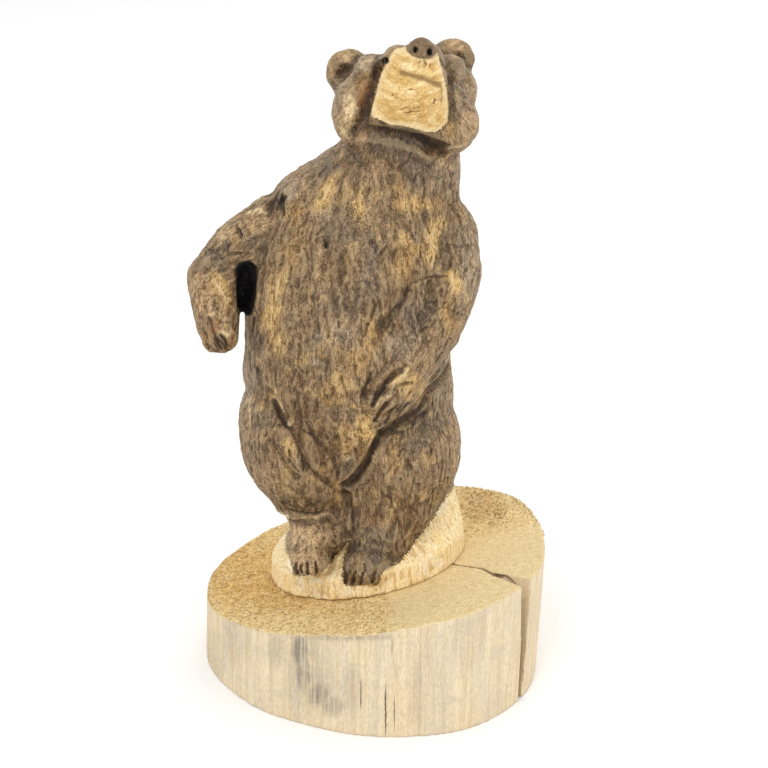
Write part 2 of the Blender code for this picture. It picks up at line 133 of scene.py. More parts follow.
# The limbs: a run of round sections, each with its middle and its radius.
LIMBS = {
    "right arm": (
        ((-55, 1, 214), 24), ((-76, -4, 205), 20.5), ((-90, -11, 191), 18.5), ((-90, -23, 174), 14.5),
        ((-88, -33, 164), 12),
    ),
    "left arm": (
        ((38, -2, 214), 24), ((40.5, -13, 194), 24), ((30, -25, 168), 23), ((18, -40, 151), 19),
        ((9, -52, 137), 16),
    ),
    "right shin": (((-41, -26, 62), 22), ((-39, -29, 42), 11.5), ((-39, -36, 34), 11)),
    "left shin": (((14, -26, 58), 27), ((5, -38, 38), 18)),
}
FOOTING_MIDDLE = (-3.7, 1.3)
FOOTING_RADIUS = 61.0
FOOTING_RIM_RADIUS = 59.5
FOOTING_NECK = (14.0, 16.0, 46.0)
FOOTING_NECK_RADIUS = 36.0

# Broad cuts of the gouge in drawn millimetres: half width, depth, then the points of each cut.
CUTS = {
    "beside muzzle": (6.0, 6.0, ((4, -24, 321), (-1, -26, 306), (-5, -26, 291))),
    "beside muzzle, left": (6.0, 2.5, ((45, -26, 320), (47, -27, 306), (46, -28, 293))),
    "under jaw": (6.5, 6.0, ((-6, -22, 287), (6, -30, 286), (17, -34, 284), (30, -34, 278), (42, -26, 271))),
    "right ear hollow": (8.0, 3.5, ((-13, 0, 309), (-12, 0, 306))),
    "left ear hollow": (7.0, 3.0, ((47, 2, 316), (46, 2, 313))),
    "right arm pit": (6.5, 6.0, ((-73, -16, 201), (-75, -18, 190), (-76, -20, 177))),
    "left arm": (5.0, 2.6, ((24, -44, 206), (16, -53, 191), (6, -60, 182), (3, -63, 172))),
    "left paw": (3.5, 2.6, ((20, -62, 158), (10, -66, 154), (0, -66, 143))),
    "left forearm": (5.5, 4.6, ((44, -16, 138), (34, -42, 131), (21, -52, 119), (7, -58, 111))),
    "groin left": (4.5, 4.5, ((7, -58, 111), (-1, -56, 92), (-8, -52, 81), (-14, -48, 74))),
    "groin right": (4.5, 2.6, ((-62, -46, 134), (-50, -56, 121), (-42, -58, 110), (-38, -56, 92))),
    "groin right, low": (4.5, 2.0, ((-38, -56, 92), (-27, -54, 81), (-20, -50, 72), (-15, -46, 62))),
    "right thigh fold": (3.5, 2.4, ((-57, -50, 106), (-44, -56, 86))),
    "between legs": (4.0, 2.6, ((-15, -46, 66), (-17, -44, 52), (-16, -44, 40))),
    "right ankle": (3.5, 1.6, ((-56, -26, 47), (-45, -40, 47), (-27, -40, 48))),
    "left ankle": (4.0, 0.9, ((-12, -46, 42), (4, -54, 40), (18, -48, 36))),
}

# Sharper cuts, each laid on the skin through points of the photograph's frame: half width and depth in
# millimetres, how dark it is painted (painted shade in the cut, with darker stain), then the points.
FRONT_CUTS = {
    "mouth": (1.9, 1.9, 0.55, ((400, 72), (409, 75), (421, 78.5), (433, 82.5), (441, 85.5))),
    "mouth corner": (1.3, 1.2, 0.45, ((442, 86), (443, 92), (441.5, 101))),
    "lip": (1.1, 0.5, 0.1, ((424, 60), (424, 70), (422, 77))),
    "right eye": (2.1, 3.4, 1.0, ((385.5, 60), (386, 61))),
    "right nostril": (1.45, 2.6, 1.0, ((415, 49.5), (415, 50.5))),
    "left nostril": (1.45, 2.6, 1.0, ((430, 51.5), (430, 53))),
    "recess": (2.2, 1.6, 0.65, ((384, 66), (377, 78), (371, 94), (367, 110), (363, 120))),
    "recess line": (1.1, 1.4, 0.8, ((363.5, 101), (362, 110), (361, 117))),
    "jaw crease": (1.6, 1.6, 0.8, ((371, 129.5), (389, 131), (402, 133.5), (415, 139), (428, 145.5), (446, 153))),
    "cheek crease": (1.5, 1.0, 0.4, ((352, 122), (361, 125), (371, 121))),
    "left cheek fold": (1.6, 0.9, 0.25, ((441, 60), (449, 74), (455, 92), (457, 110))),
    "shoulder knot": (2.6, 2.2, 0.9, ((283, 196), (281, 204), (282, 212))),
    "shoulder knot side": (1.6, 1.2, 0.6, ((276, 200), (280, 206))),
    "shoulder nick": (1.0, 1.0, 0.8, ((236, 226), (238, 232), (241, 238))),
    "chest dot": (1.2, 1.2, 0.9, ((326, 243), (326, 247))),
    "arm crease": (1.2, 1.3, 0.35, ((446, 276), (428, 278), (412, 286), (407, 299), (400, 309))),
    "arm crease, low": (1.6, 2.0, 0.30, ((400, 306), (391, 318), (383, 327), (380.5, 340))),
    "arm strand": (0.9, 0.7, 0.4, ((416, 312), (424, 330), (430, 350), (431, 368))),
    "arm strand 2": (0.9, 0.6, 0.3, ((434, 309), (441, 322), (446, 340))),
    "arm strand 3": (0.9, 0.6, 0.3, ((404, 330), (412, 352), (414, 368))),
    "paw groove": (2.1, 2.4, 0.8, ((403, 371), (389, 379), (382, 388), (376, 397), (371, 407))),
    "paw groove 2": (1.5, 1.5, 0.6, ((414, 383), (399, 386), (390, 394))),
    "finger 1": (1.5, 1.9, 0.8, ((386, 404), (379, 414), (375, 422))),
    "finger 2": (1.4, 1.8, 0.8, ((399, 407), (391, 416), (386, 424))),
    "finger 3": (1.3, 1.5, 0.6, ((410, 404), (402, 413), (397, 420))),
    "forearm under": (2.0, 2.6, 0.9, ((430, 400), (421, 412), (406, 424), (391, 434), (383, 440))),
    "groin": (2.0, 2.4, 0.55, ((383, 439), (376, 450), (370, 463), (361, 474), (352, 480), (342, 485))),
    "thigh crease": (1.9, 2.4, 0.65, ((271, 402), (278, 413), (284, 424), (290, 429))),
    "thigh crease, low": (1.2, 1.0, 0.3, ((291, 430), (296, 442), (302, 456), (308, 467), (322, 481), (334, 490))),
    "thigh crease 2": (1.1, 1.0, 0.3, ((276, 446), (286, 458), (299, 473))),
    "knee edge": (1.2, 0.8, 0.2, ((247, 404), (250, 420), (252, 436))),
    "belly fold": (1.6, 1.2, 0.4, ((306, 424), (316, 440), (330, 454), (338, 470))),
    "crotch": (1.6, 1.2, 0.2, ((342, 485), (347, 500), (352, 514), (353, 530))),
    "ankle ring": (1.6, 1.6, 0.4, ((290, 511), (300, 514.5), (314, 515), (328, 512))),
        "paw facet": (2.2, 1.7, 0.35, ((209, 318), (212, 330), (217, 342))),
    "paw gouge": (1.5, 2.2, 0.8, ((222, 335), (226, 341), (229, 347))),
    "paw gouge 2": (1.2, 1.4, 0.5, ((214, 338), (218, 346), (222, 350))),
    "paw nick": (1.2, 1.2, 0.5, ((203, 332), (205, 338))),
    "wrist": (1.2, 0.9, 0.35, ((215, 318), (224, 322), (234, 321))),
}
CLAW_HALF_WIDTH = 1.15
CLAW_DEPTH = 2.4

# Fur: broad locks as on the solid, then strands and scratches. Each row has the grid of the starts in
# millimetres, length, half width, depth, how much the length, depth and direction vary, and the seed.
LOCKS = (11.0, 20.0, 4.4, 0.75, 0.45, 0.18, 7)
STRANDS = (5.2, 12.0, 1.5, 0.30, 0.7, 0.20, 11)
SCRATCHES = (3.6, 8.0, 1.05, 0.24, 0.7, 0.30, 13)
NICKS = (14.0, 6.0, 1.4, 1.0, 0.6, 0.35, 17)
HEAD_STROKES = 0.35
NOSE_TIP = np.array((26.0, -44.0, 337.0))
NECK_HEIGHT = 262.0
NECK_BLEND = 20.0
ARM_COAT = 2.0

# The bare plate of the muzzle, as an outline in the photograph's frame.
MUZZLE_PLATE = (
    (406, 46), (394.5, 49), (387, 60), (381.5, 71), (376.5, 87), (373, 101), (370.5, 116), (379, 119.5),
    (389, 124.5), (402, 126), (415, 129), (425, 132), (434, 132.5), (442, 128.5), (448, 121), (449, 107),
    (447, 91), (444.5, 77), (441, 65), (438.5, 55), (436, 50), (431, 58), (424, 58.5), (414, 56.5), (408, 52),
)
NOSE_PAD = ((406, 47), (411, 41), (420, 36), (431, 40), (438, 50), (436, 56), (428, 59.5), (415, 57), (408, 52))

# Finishes of the wood, as the colours that they give back. The darkest also serves as painted shade in creases and
# hollows, and the silvery grey one as painted sheen on edges and glints.
FINISHES = {
    "walnut": (0.225, 0.146, 0.076),
    "golden": (0.530, 0.335, 0.125),
    "honey": (0.350, 0.203, 0.070),
    "tan": (0.430, 0.272, 0.145),
    "umber": (0.125, 0.066, 0.027),
    "dark_stain_and_shade": (0.038, 0.020, 0.010),
    "russet": (0.250, 0.108, 0.034),
    "slate": (0.122, 0.090, 0.063),
    "grey_and_sheen": (0.345, 0.265, 0.182),
    "cream": (0.760, 0.560, 0.310),
}
# How the stain and wear lie at the front, with painted shade in creases, hollows and under the jaw and the
# forearm, and painted highlights and glints on edges, laid one over another: the finish, the middle and half
# sizes in the photograph's frame, the lean in degrees from upright towards the right, then how strong.
FRONT_STAIN_AND_PAINTED_LIGHT = (
    ("slate", (400, 250), (60, 70), 0, 0.15), ("grey_and_sheen", (470, 270), (12, 50), 0, 0.5),
    ("grey_and_sheen", (286, 184), (24, 9), 55, 0.6), ("tan", (302, 180), (14, 8), 55, 0.5),
    ("slate", (325, 164), (24, 9), 65, 0.8), ("slate", (352, 160), (24, 8), 80, 0.5),
    ("tan", (377, 166), (8, 14), 0, 0.5), ("umber", (410, 170), (26, 16), 0, 0.75),
    ("slate", (416, 172), (18, 12), 0, 0.7), ("grey_and_sheen", (444, 176), (12, 14), 0, 0.35),
    ("honey", (400, 194), (18, 8), 100, 0.7), ("grey_and_sheen", (324, 216), (10, 12), 0, 0.4),
    ("golden", (326, 194), (8, 20), 30, 0.95), ("honey", (298, 212), (9, 16), 10, 0.8),
    ("cream", (259, 208), (7, 5), 0, 0.7), ("tan", (262, 222), (14, 7), 0, 0.5),
    ("dark_stain_and_shade", (281, 202), (4.5, 10), 10, 1.0), ("dark_stain_and_shade", (272, 206), (5, 5), 0, 0.85),
    ("umber", (277, 212), (6, 4), 0, 0.6), ("golden", (287, 218), (6, 6), 0, 0.5),
    ("golden", (358, 206), (17, 7), 90, 0.75), ("golden", (415, 206), (16, 9), 0, 0.85),
    ("honey", (440, 206), (10, 9), 0, 0.5), ("honey", (402, 264), (17, 19), 0, 0.75),
    ("honey", (412, 250), (11, 15), 0, 0.85), ("golden", (434, 234), (10, 17), 20, 0.9),
    ("golden", (431, 254), (9, 12), 0, 0.8), ("golden", (402, 242), (8, 6), 0, 0.5),
    ("dark_stain_and_shade", (384, 254), (9, 5.5), 0, 0.75), ("slate", (412, 236), (6, 5), 0, 0.75),
    ("slate", (424, 220), (9, 4.5), 80, 0.7), ("umber", (403, 227), (9, 5), 0, 0.6),
    ("slate", (372, 264), (7, 28), 6, 0.85), ("slate", (368, 240), (8, 8), 0, 0.5),
    ("slate", (342, 232), (22, 18), 0, 0.5), ("dark_stain_and_shade", (326, 245), (3, 7), 0, 0.9),
    ("umber", (338, 266), (20, 18), 0, 0.4), ("honey", (301, 240), (9, 11), 0, 0.5),
    ("honey", (290, 256), (9, 15), 0, 0.75), ("golden", (277, 290), (8, 24), 4, 0.7),
    ("golden", (272, 320), (9, 24), 0, 0.75), ("golden", (277, 345), (10, 15), 0, 0.55),
    ("slate", (258, 292), (4, 34), 0, 0.6), ("umber", (305, 296), (16, 20), 0, 0.3),
    ("slate", (326, 300), (20, 22), 0, 0.4), ("slate", (352, 303), (18, 10), 0, 0.55),
    ("grey_and_sheen", (336, 334), (20, 9), 0, 0.45), ("slate", (320, 341), (11, 6), 0, 0.65),
    ("dark_stain_and_shade", (324, 361), (8, 8), 0, 0.6), ("grey_and_sheen", (312, 360), (5, 5), 0, 0.5),
    ("honey", (372, 334), (8, 18), 0, 0.9), ("golden", (371, 329), (5, 9), 0, 0.6),
    ("honey", (356, 362), (14, 14), 0, 0.6), ("umber", (375, 310), (9, 10), 0, 0.8),
    ("umber", (392, 300), (9, 14), 0, 0.6), ("umber", (408, 291), (9, 7), 0, 0.95),
    ("dark_stain_and_shade", (399, 312), (5, 9), 20, 0.95), ("umber", (390, 325), (7, 10), 35, 0.8),
    ("slate", (411, 316), (17, 11), 60, 0.95), ("slate", (429, 311), (10, 9), 0, 0.7),
    ("slate", (458, 242), (13, 18), 0, 0.45), ("golden", (452, 284), (7, 15), 0, 0.95),
    ("honey", (447, 311), (6, 14), 0, 0.6), ("russet", (455, 326), (9, 10), 0, 0.3),
    ("grey_and_sheen", (400, 345), (20, 15), 0, 0.45), ("tan", (426, 345), (11, 20), 0, 0.4),
    ("slate", (440, 380), (8, 20), 0, 0.7), ("golden", (404, 384), (18, 11), 50, 0.75),
    ("golden", (420, 388), (12, 7), 90, 0.6), ("umber", (366, 385), (3.6, 14), 22, 0.95),
    ("dark_stain_and_shade", (384, 387), (3.6, 14), 32, 1.0), ("dark_stain_and_shade", (374, 397), (3.2, 10), 25, 1.0),
    ("umber", (396, 372), (3, 9), 60, 0.8), ("cream", (405, 376), (3, 5), 0, 0.6),
    ("golden", (345, 385), (9, 7), 0, 0.7), ("honey", (331, 394), (14, 9), 0, 0.7),
    ("golden", (353, 403), (5, 4), 0, 0.8), ("golden", (338, 402), (6, 5), 0, 0.6),
    ("umber", (300, 393), (14, 16), 0, 0.65), ("umber", (300, 372), (16, 9), 0, 0.5),
    ("umber", (281, 375), (10, 18), 0, 0.45), ("golden", (274, 396), (3.5, 9), -35, 0.7),
    ("grey_and_sheen", (222, 234), (22, 9), 58, 0.6), ("slate", (214, 258), (18, 15), 0, 0.85),
    ("umber", (240, 250), (12, 14), 0, 0.5), ("dark_stain_and_shade", (229, 246), (3, 10), 0, 0.5),
    ("slate", (258, 246), (10, 12), 0, 0.5), ("tan", (203, 296), (10, 22), 0, 0.85),
    ("golden", (221, 292), (8, 22), -25, 0.95), ("umber", (233, 287), (3.6, 22), 0, 0.8),
    ("umber", (218, 308), (5, 4), 0, 0.4), ("tan", (222, 316), (12, 5), 90, 0.7),
    ("russet", (213, 326), (6, 7), 0, 0.9), ("cream", (228, 333), (3, 7.5), -60, 0.7),
    ("russet", (206, 338), (6, 8), 0, 0.5), ("dark_stain_and_shade", (222, 343), (4, 9), -40, 0.85),
    ("russet", (232, 343), (4, 8), 0, 0.6), ("umber", (215, 352), (12, 4), 0, 0.6),
    ("dark_stain_and_shade", (256, 335), (3.5, 18), 0, 0.7), ("slate", (250, 350), (5, 22), 0, 0.75),
    ("dark_stain_and_shade", (257, 372), (3, 9), 0, 0.9), ("grey_and_sheen", (247, 392), (7, 26), 0, 0.8),
    ("slate", (262, 420), (13, 10), 0, 0.6), ("slate", (258, 447), (10, 10), 0, 0.65),
    ("dark_stain_and_shade", (277, 411), (3, 12), -32, 0.95), ("dark_stain_and_shade", (286, 424), (4, 6), -40, 0.85),
    ("grey_and_sheen", (290, 424), (3.5, 3), 0, 0.7), ("umber", (306, 411), (18, 14), 0, 0.7),
    ("dark_stain_and_shade", (312, 431), (3.5, 12), -65, 0.6), ("umber", (325, 446), (16, 22), 0, 0.85),
    ("russet", (300, 436), (9, 9), 0, 0.35), ("golden", (289, 448), (8, 7.5), 0, 0.9),
    ("dark_stain_and_shade", (303, 462), (4, 8), 0, 0.9), ("honey", (318, 475), (9, 8), 0, 0.5),
    ("honey", (346, 440), (8, 14), 0, 0.75), ("golden", (364, 428), (10, 20), 10, 0.95),
    ("honey", (361, 452), (6, 12), 15, 0.8), ("umber", (357, 446), (3, 9), 25, 0.85),
    ("slate", (345, 466), (9, 8), 0, 0.75), ("umber", (330, 472), (13, 15), 0, 0.8),
    ("grey_and_sheen", (348, 458), (2.5, 2.5), 0, 1.0), ("umber", (368, 460), (4, 17), 25, 0.95),
    ("dark_stain_and_shade", (356, 477), (7, 9), 40, 0.6), ("dark_stain_and_shade", (345, 486), (8, 5), 0, 0.9),
    ("dark_stain_and_shade", (394, 434), (6, 14), 62, 0.95), ("dark_stain_and_shade", (416, 417), (3.6, 15), 58, 1.0),
    ("dark_stain_and_shade", (428, 404), (3, 7), 45, 1.0), ("dark_stain_and_shade", (388, 441), (8, 6), 0, 0.9),
    ("russet", (385, 407), (3.4, 9), 50, 0.85), ("umber", (398, 411), (2.6, 6), 45, 0.85),
    ("slate", (434, 424), (16, 14), 0, 0.6), ("slate", (416, 445), (14, 9), 0, 0.65),
    ("honey", (396, 460), (11, 11), 0, 0.4), ("slate", (385, 472), (8, 10), 0, 0.45),
    ("tan", (452, 440), (7, 30), 0, 0.45), ("umber", (413, 467), (3, 4), 0, 0.6),
    ("golden", (375, 492), (5, 6), 0, 0.5), ("dark_stain_and_shade", (388, 497), (4, 4), 0, 0.6),
    ("umber", (400, 511), (24, 10), 0, 0.85), ("golden", (396, 509), (4, 3), 0, 0.6),
    ("umber", (433, 505), (9, 16), 35, 0.7), ("umber", (416, 527), (14, 10), 0, 0.7),
    ("russet", (373, 515), (8, 12), 0, 0.4), ("umber", (302, 500), (28, 7), 0, 0.85),
    ("dark_stain_and_shade", (286, 501), (8, 4), 0, 0.7), ("dark_stain_and_shade", (319, 506), (8, 4), 0, 0.75),
    ("honey", (283, 483), (7, 9), 0, 0.75), ("honey", (337, 494), (4.5, 15), 0, 0.8),
    ("tan", (268, 474), (11, 16), 0, 0.45), ("umber", (352, 506), (8, 10), 0, 0.8),
    ("dark_stain_and_shade", (352, 522), (5, 11), 0, 0.65), ("cream", (319, 516.5), (3, 11), 90, 0.6),
    ("tan", (302, 546), (19, 23), 0, 0.85), ("cream", (299, 548), (15, 22), 0, 0.22),
    ("umber", (330, 525), (12, 7), 0, 0.5),
    ("umber", (331, 549), (6, 14), 25, 0.75), ("slate", (371, 550), (28, 22), 0, 0.8),
    ("slate", (356, 568), (14, 10), 0, 0.9), ("umber", (403, 545), (8, 12), 35, 0.5),
    ("slate", (343, 64), (22, 18), 0, 0.85), ("slate", (458, 52), (18, 16), 0, 0.6), ("tan", (348, 56.5), (3.6, 10), 80, 0.85),
    ("dark_stain_and_shade", (345, 69), (5.5, 11), 65, 0.9), ("slate", (363, 57), (12, 6), 0, 0.85),
    ("tan", (330, 76), (4, 7), 0, 0.7), ("slate", (337, 83), (6, 5), 0, 0.8),
    ("grey_and_sheen", (355, 71), (5.5, 19), 58, 0.9), ("slate", (377, 56), (3.6, 12), 65, 0.7),
    ("umber", (393, 51), (3.6, 9), 62, 0.6), ("grey_and_sheen", (340, 101), (7, 17), 0, 0.7),
    ("tan", (346, 118), (11, 14), 0, 0.5),
    ("honey", (357, 83), (4, 10), 25, 0.7), ("cream", (351, 107), (5.5, 13), 8, 0.85),
    ("umber", (341, 112), (3, 5), 0, 0.4), ("dark_stain_and_shade", (375, 73), (6, 17), 12, 0.8),
    ("dark_stain_and_shade", (370, 97), (3.6, 13), 6, 0.8), ("russet", (360, 94), (4, 13), 0, 0.9), ("dark_stain_and_shade", (368, 92), (3.6, 18), 8, 0.6),
    ("russet", (360, 109), (2.8, 9), 0, 0.8), ("grey_and_sheen", (366, 112), (1.8, 8), 0, 0.5),
    ("cream", (345, 134), (4.5, 11), -40, 0.6), ("dark_stain_and_shade", (355, 131), (2.2, 8), 12, 0.8),
    ("tan", (343, 146), (7, 8), 0, 0.65), ("tan", (360, 146), (6, 9), 0, 0.6),
    ("umber", (352, 124), (3, 10), 75, 0.5), ("umber", (376, 122), (10, 4.5), 0, 0.9),
    ("dark_stain_and_shade", (400, 129.5), (4.5, 29), 98, 0.95), ("umber", (428, 141), (6, 22), 116, 0.8),
    ("honey", (452, 131), (9, 10), 0, 0.7), ("cream", (457, 147), (9, 3), 0, 0.55),
    ("slate", (455, 76), (7, 20), 0, 0.85), ("grey_and_sheen", (463, 98), (9, 22), 0, 0.45),
    ("tan", (468, 124), (7, 16), 0, 0.4), ("russet", (459, 47), (12, 8), 0, 0.5),
    ("tan", (456, 47), (10, 6), 0, 0.7), ("slate", (440, 44), (6, 6), 0, 0.7),
    ("slate", (461, 66), (9, 5), 0, 0.6), ("dark_stain_and_shade", (390, 146), (28, 13), 0, 0.5),
    ("slate", (386, 144), (21, 11), 0, 0.8),
    ("slate", (410, 147), (16, 9), 0, 0.75), ("umber", (430, 154), (17, 7), 0, 0.7),
    ("tan", (376, 157), (8, 4), 0, 0.5), ("dark_stain_and_shade", (404, 132.5), (5.5, 28), 98, 0.95),
    ("dark_stain_and_shade", (398, 150), (30, 9), 8, 0.35), ("slate", (396, 152), (30, 11), 8, 0.5), ("umber", (333, 66), (11, 14), 0, 0.7), ("tan", (331, 60), (5, 3), 0, 0.5),
    ("umber", (345, 66), (12, 8), 60, 0.5), ("umber", (282, 455), (30, 38), 0, 0.28),
    ("umber", (410, 480), (38, 40), 0, 0.16), ("tan", (322, 545), (6, 16), 0, 0.35),
    ("tan", (382, 468), (3, 16), 25, 0.5),
)
# The stained figure against the bare footing, and the hollow behind the right arm, painted near-black as its shade.
STAINED = (
    (100, 0), (560, 0), (560, 450), (458, 482), (445, 498), (434, 517), (421, 533), (409, 551), (399, 562.5),
    (384, 570), (378, 584), (346, 586), (342, 577), (344, 560), (350, 539), (338, 553), (326, 568), (319, 575.5),
    (294, 575.5), (290.6, 560), (286, 549), (287, 533), (289, 515.5), (200, 480),
)
HOLE_SHADE = ((235, 268), (239, 262), (250, 260), (256, 266), (257, 290), (255, 304), (252, 315), (242, 315), (237, 306))
# Small dark marks: the middle and half sizes in the photograph's frame, and the lean in degrees. The black ones are the
# eye, the nostrils and small holes: dark wood, with painted shade in the holes.
BLACK_MARKS_AND_HOLE_SHADE = (
    ((385.3, 60.8), (3.7, 3.9), 30), ((415, 49.5), (2.4, 3.0), 10), ((430, 52), (2.7, 3.8), 0),
    ((326, 245), (1.2, 3.4), 0), ((240.5, 231.5), (1.0, 6.0), -25), ((281.5, 199), (1.6, 6.0), 12),
)
# Dark strokes: dark lines of the carving, with painted shade in the creases of the groin, knee, paw and jaw and under
# the forearm.
DARK_AND_SHADE_STROKES = (
    ((384, 388), (1.9, 12), 34), ((374.5, 398), (1.7, 9), 26), ((366, 385), (1.6, 13), 22), ((396, 372.5), (1.2, 9), 64),
    ((386, 407), (1.6, 8), 50), ((398, 411), (1.2, 6), 45), ((407, 405), (1.0, 5), 45), ((391, 399), (0.9, 9), 42),
    ((408, 291), (1.6, 7), 20), ((399, 311), (1.8, 8), 22), ((389, 325), (2.0, 9), 35), ((425, 328), (0.8, 12), -25),
    ((415, 335), (0.8, 12), -20), ((277, 411), (1.8, 12), -32), ((286, 424), (1.8, 5), -40), ((368, 459), (2.2, 17), 25),
    ((356, 477), (2.6, 8), 38), ((416, 417), (2.2, 16), 57), ((395, 433), (2.4, 10), 62), ((303, 462), (1.8, 6), -15),
    ((308, 432), (1.2, 9), -60), ((355, 131), (1.2, 8), 12), ((361.5, 108), (1.1, 9), 6), ((420, 138), (2.4, 20), 113),
    ((396, 130), (1.7, 16), 97), ((282, 203), (2.2, 9), 8), ((273, 206), (2.0, 4), 30), ((229, 246), (0.9, 9), 0),
    ((257, 371), (1.6, 9), -10), ((223, 343), (1.6, 8), -40), ((217, 345), (1.0, 6), -40), ((352, 510), (1.6, 14), 0),
    ((388, 497), (2.0, 2.5), 0), ((413, 467), (1.3, 3), -10), ((302, 452), (0.9, 12), -32), ((412, 236), (1.6, 2.2), 0),
    ((345, 69), (1.5, 6), 60), ((353, 66), (1.2, 3), 20), ((338, 72), (1.4, 3), 10), ((373, 74), (1.2, 10), 12),
)
# Pale strokes: light streaks of the wood, and painted glints and highlights on the fur.
PALE_AND_GLINT_STROKES = (
    ((405, 376), (1.6, 4.5), 10), ((396, 381), (1.2, 9), 62), ((388, 396), (1.0, 10), 38), ((379, 403), (1.0, 8), 30),
    ((280, 404), (1.0, 11), -35), ((374, 455), (0.9, 12), 25), ((452, 284), (1.9, 10), 0), ((221, 292), (1.9, 14), -25),
    ((326, 192), (1.7, 12), 30), ((226, 333), (1.6, 6), -62), ((348, 458), (1.6, 2.2), 30), ((312, 516), (1.0, 12), 88),
    ((290, 424), (1.6, 2.0), 0), ((344, 101), (1.1, 12), 8), ((352, 108), (1.6, 8), 8), ((369, 60), (1.0, 9), 60),
    ((457, 147), (1.2, 8), 80), ((345, 134), (1.2, 8), -40), ((250, 412), (1.0, 16), 0), ((432, 240), (1.4, 10), 20),
    ((434, 262), (1.1, 8), 10), ((259, 208), (2.0, 3.0), 40), ((278, 290), (1.2, 12), 4), ((348, 55), (1.0, 7), 82),
    ((345, 60), (0.9, 6), 84), ((455, 44), (1.2, 5), 70), ((461, 50), (1.2, 4), 60), ((212, 313), (1.2, 5), 80),
)
SPLINTERS = (
    ((322, 591), (1.2, 10.0), 4), ((328, 590), (0.8, 8.0), -6), ((334, 588), (0.7, 7.0), -6), ((386, 580), (0.9, 9.0), 0),
    ((394, 580), (0.8, 9.0), 0), ((402, 577), (0.9, 8.0), 4), ((409, 574), (0.7, 6.0), 4), ((339, 570), (1.2, 7.0), 18),
)
CLAW_MARKS = (
    ((296, 569), (1.7, 6.0), -8), ((300.6, 569), (1.2, 4.0), -8), ((307.5, 568.5), (1.8, 6.6), -6),
    ((316.5, 568), (1.9, 6.2), -6), ((346.3, 578.5), (2.4, 6.0), 12), ((353.4, 578.5), (2.2, 6.4), 12),
    ((361.6, 579.5), (2.1, 5.6), 12), ((373.6, 577.5), (2.3, 6.4), 14),
)
MUZZLE_TEARS = (
    ((411, 111.8), (0.9, 8.5), 88), ((405, 108.3), (0.8, 5.0), 78), ((417, 107.5), (0.7, 4.0), 82),
    ((434.5, 101), (1.6, 3.2), 20), ((411, 89.3), (0.7, 4.0), 84), ((392.5, 94), (0.9, 1.8), 0),
    ((419, 62), (0.9, 1.8), 10), ((425.5, 63), (1.0, 3.0), 0), ((430, 65), (0.9, 2.4), 10),
)

NOSE_STRIPE = (((421, 46), (1.8, 6.0), 0), ((414, 57), (5.0, 1.4), 70))
CHIN = (((414, 106), (26, 15), 1.0), ((440, 100), (6, 9), 0.8), ((424, 62), (9, 5), 0.9), ((392, 98), (14, 10), 0.3))

SIDE_CHECKS = (((361, 680), (361, 707), 0.5), ((385.5, 687), (386, 735), 1.0))
SIDE_CHECK_HALF_WIDTH = 1.1
SIDE_MARKS = (
    ((360.8, 694), (0.55, 15.0), 0), ((385.6, 711), (0.85, 26.0), 0), ((394.5, 712), (0.4, 20.0), 0),
    ((392, 646), (0.4, 9.0), 0), ((448, 600), (0.4, 6.0), 0),
)
TOP_CRACK = ((514, 584), (505.5, 576.5), (496, 575.2), (485, 569.5), (475.5, 567.2), (459.5, 565), (446, 562))
STAIN_PATCHES = (
    ((300, 650), (9, 17), 1.0), ((304, 676), (9, 20), 0.85), ((318, 694), (12, 14), 0.9), ((332, 706), (12, 10), 0.7),
    ((340, 637), (52, 4), 0.6), ((420, 690), (6, 40), 0.15), ((235, 640), (14, 26), 0.3), ((350, 690), (12, 26), 0.35),
    ((276, 650), (8, 20), 0.35), ((310, 672), (26, 40), 0.35), ((212, 660), (10, 30), 0.3), ((470, 640), (14, 30), 0.15),
)
RUDDY = (
    ((245, 570), (50, 42), 1.0), ((262, 590), (26, 26), 1.0), ((290, 600), (30, 14), 0.8), ((330, 610), (34, 8), 0.4),
    ((470, 560), (10, 5), 0.5), ((478, 505), (24, 18), 0.7),
)
TOP_PITS = (((477, 500), (13, 8), 1.0), ((494, 514), (13, 12), 1.0), ((471, 514), (9, 9), 0.9), ((512, 505), (10, 6), 0.4))


# The photograph's view

def photo_axes():
    """The photograph's eye, and the ways that it looks, and that its frame goes right and up."""
    back = np.array((0.0, -math.cos(ELEVATION), math.sin(ELEVATION)))
    up = np.array((0.0, math.sin(ELEVATION), math.cos(ELEVATION)))
    return AIM + DISTANCE * back, -back, np.array((1.0, 0.0, 0.0)), up


def in_photo(points):
    """Where points in metres lie in the photograph's frame."""
    eye, forward, right, up = photo_axes()
    away = points - eye
    deep = away @ forward
    reach = FRAME_SIDE * LENS / SENSOR
    middle = FRAME_SIDE / 2
    return np.column_stack([middle + reach * (away @ right) / deep, middle - reach * (away @ up) / deep])


def photo_ray(place):
    """The eye, and the way to a place of the photograph's frame."""
    eye, forward, right, up = photo_axes()
    reach = FRAME_SIDE * LENS / SENSOR
    middle = FRAME_SIDE / 2
    way = forward + right * (place[0] - middle) / reach - up * (place[1] - middle) / reach
    return Vector(eye), Vector(way).normalized()


def spot(seen, middle, half_sizes, lean=0.0):
    """One inside a leaning oval of the photograph's frame, falling to nothing around its edge."""
    turn = math.radians(lean)
    x, y = (seen - middle).T
    across = x * math.cos(turn) + y * math.sin(turn)
    along = y * math.cos(turn) - x * math.sin(turn)
    return step(1.45, 0.45, np.hypot(across / half_sizes[0], along / half_sizes[1]))


def spots(seen, rows):
    """The strongest of several spots."""
    made = np.zeros(len(seen))
    for middle, half_sizes, strength in rows:
        made = np.maximum(made, spot(seen, middle, half_sizes) * strength)
    return made


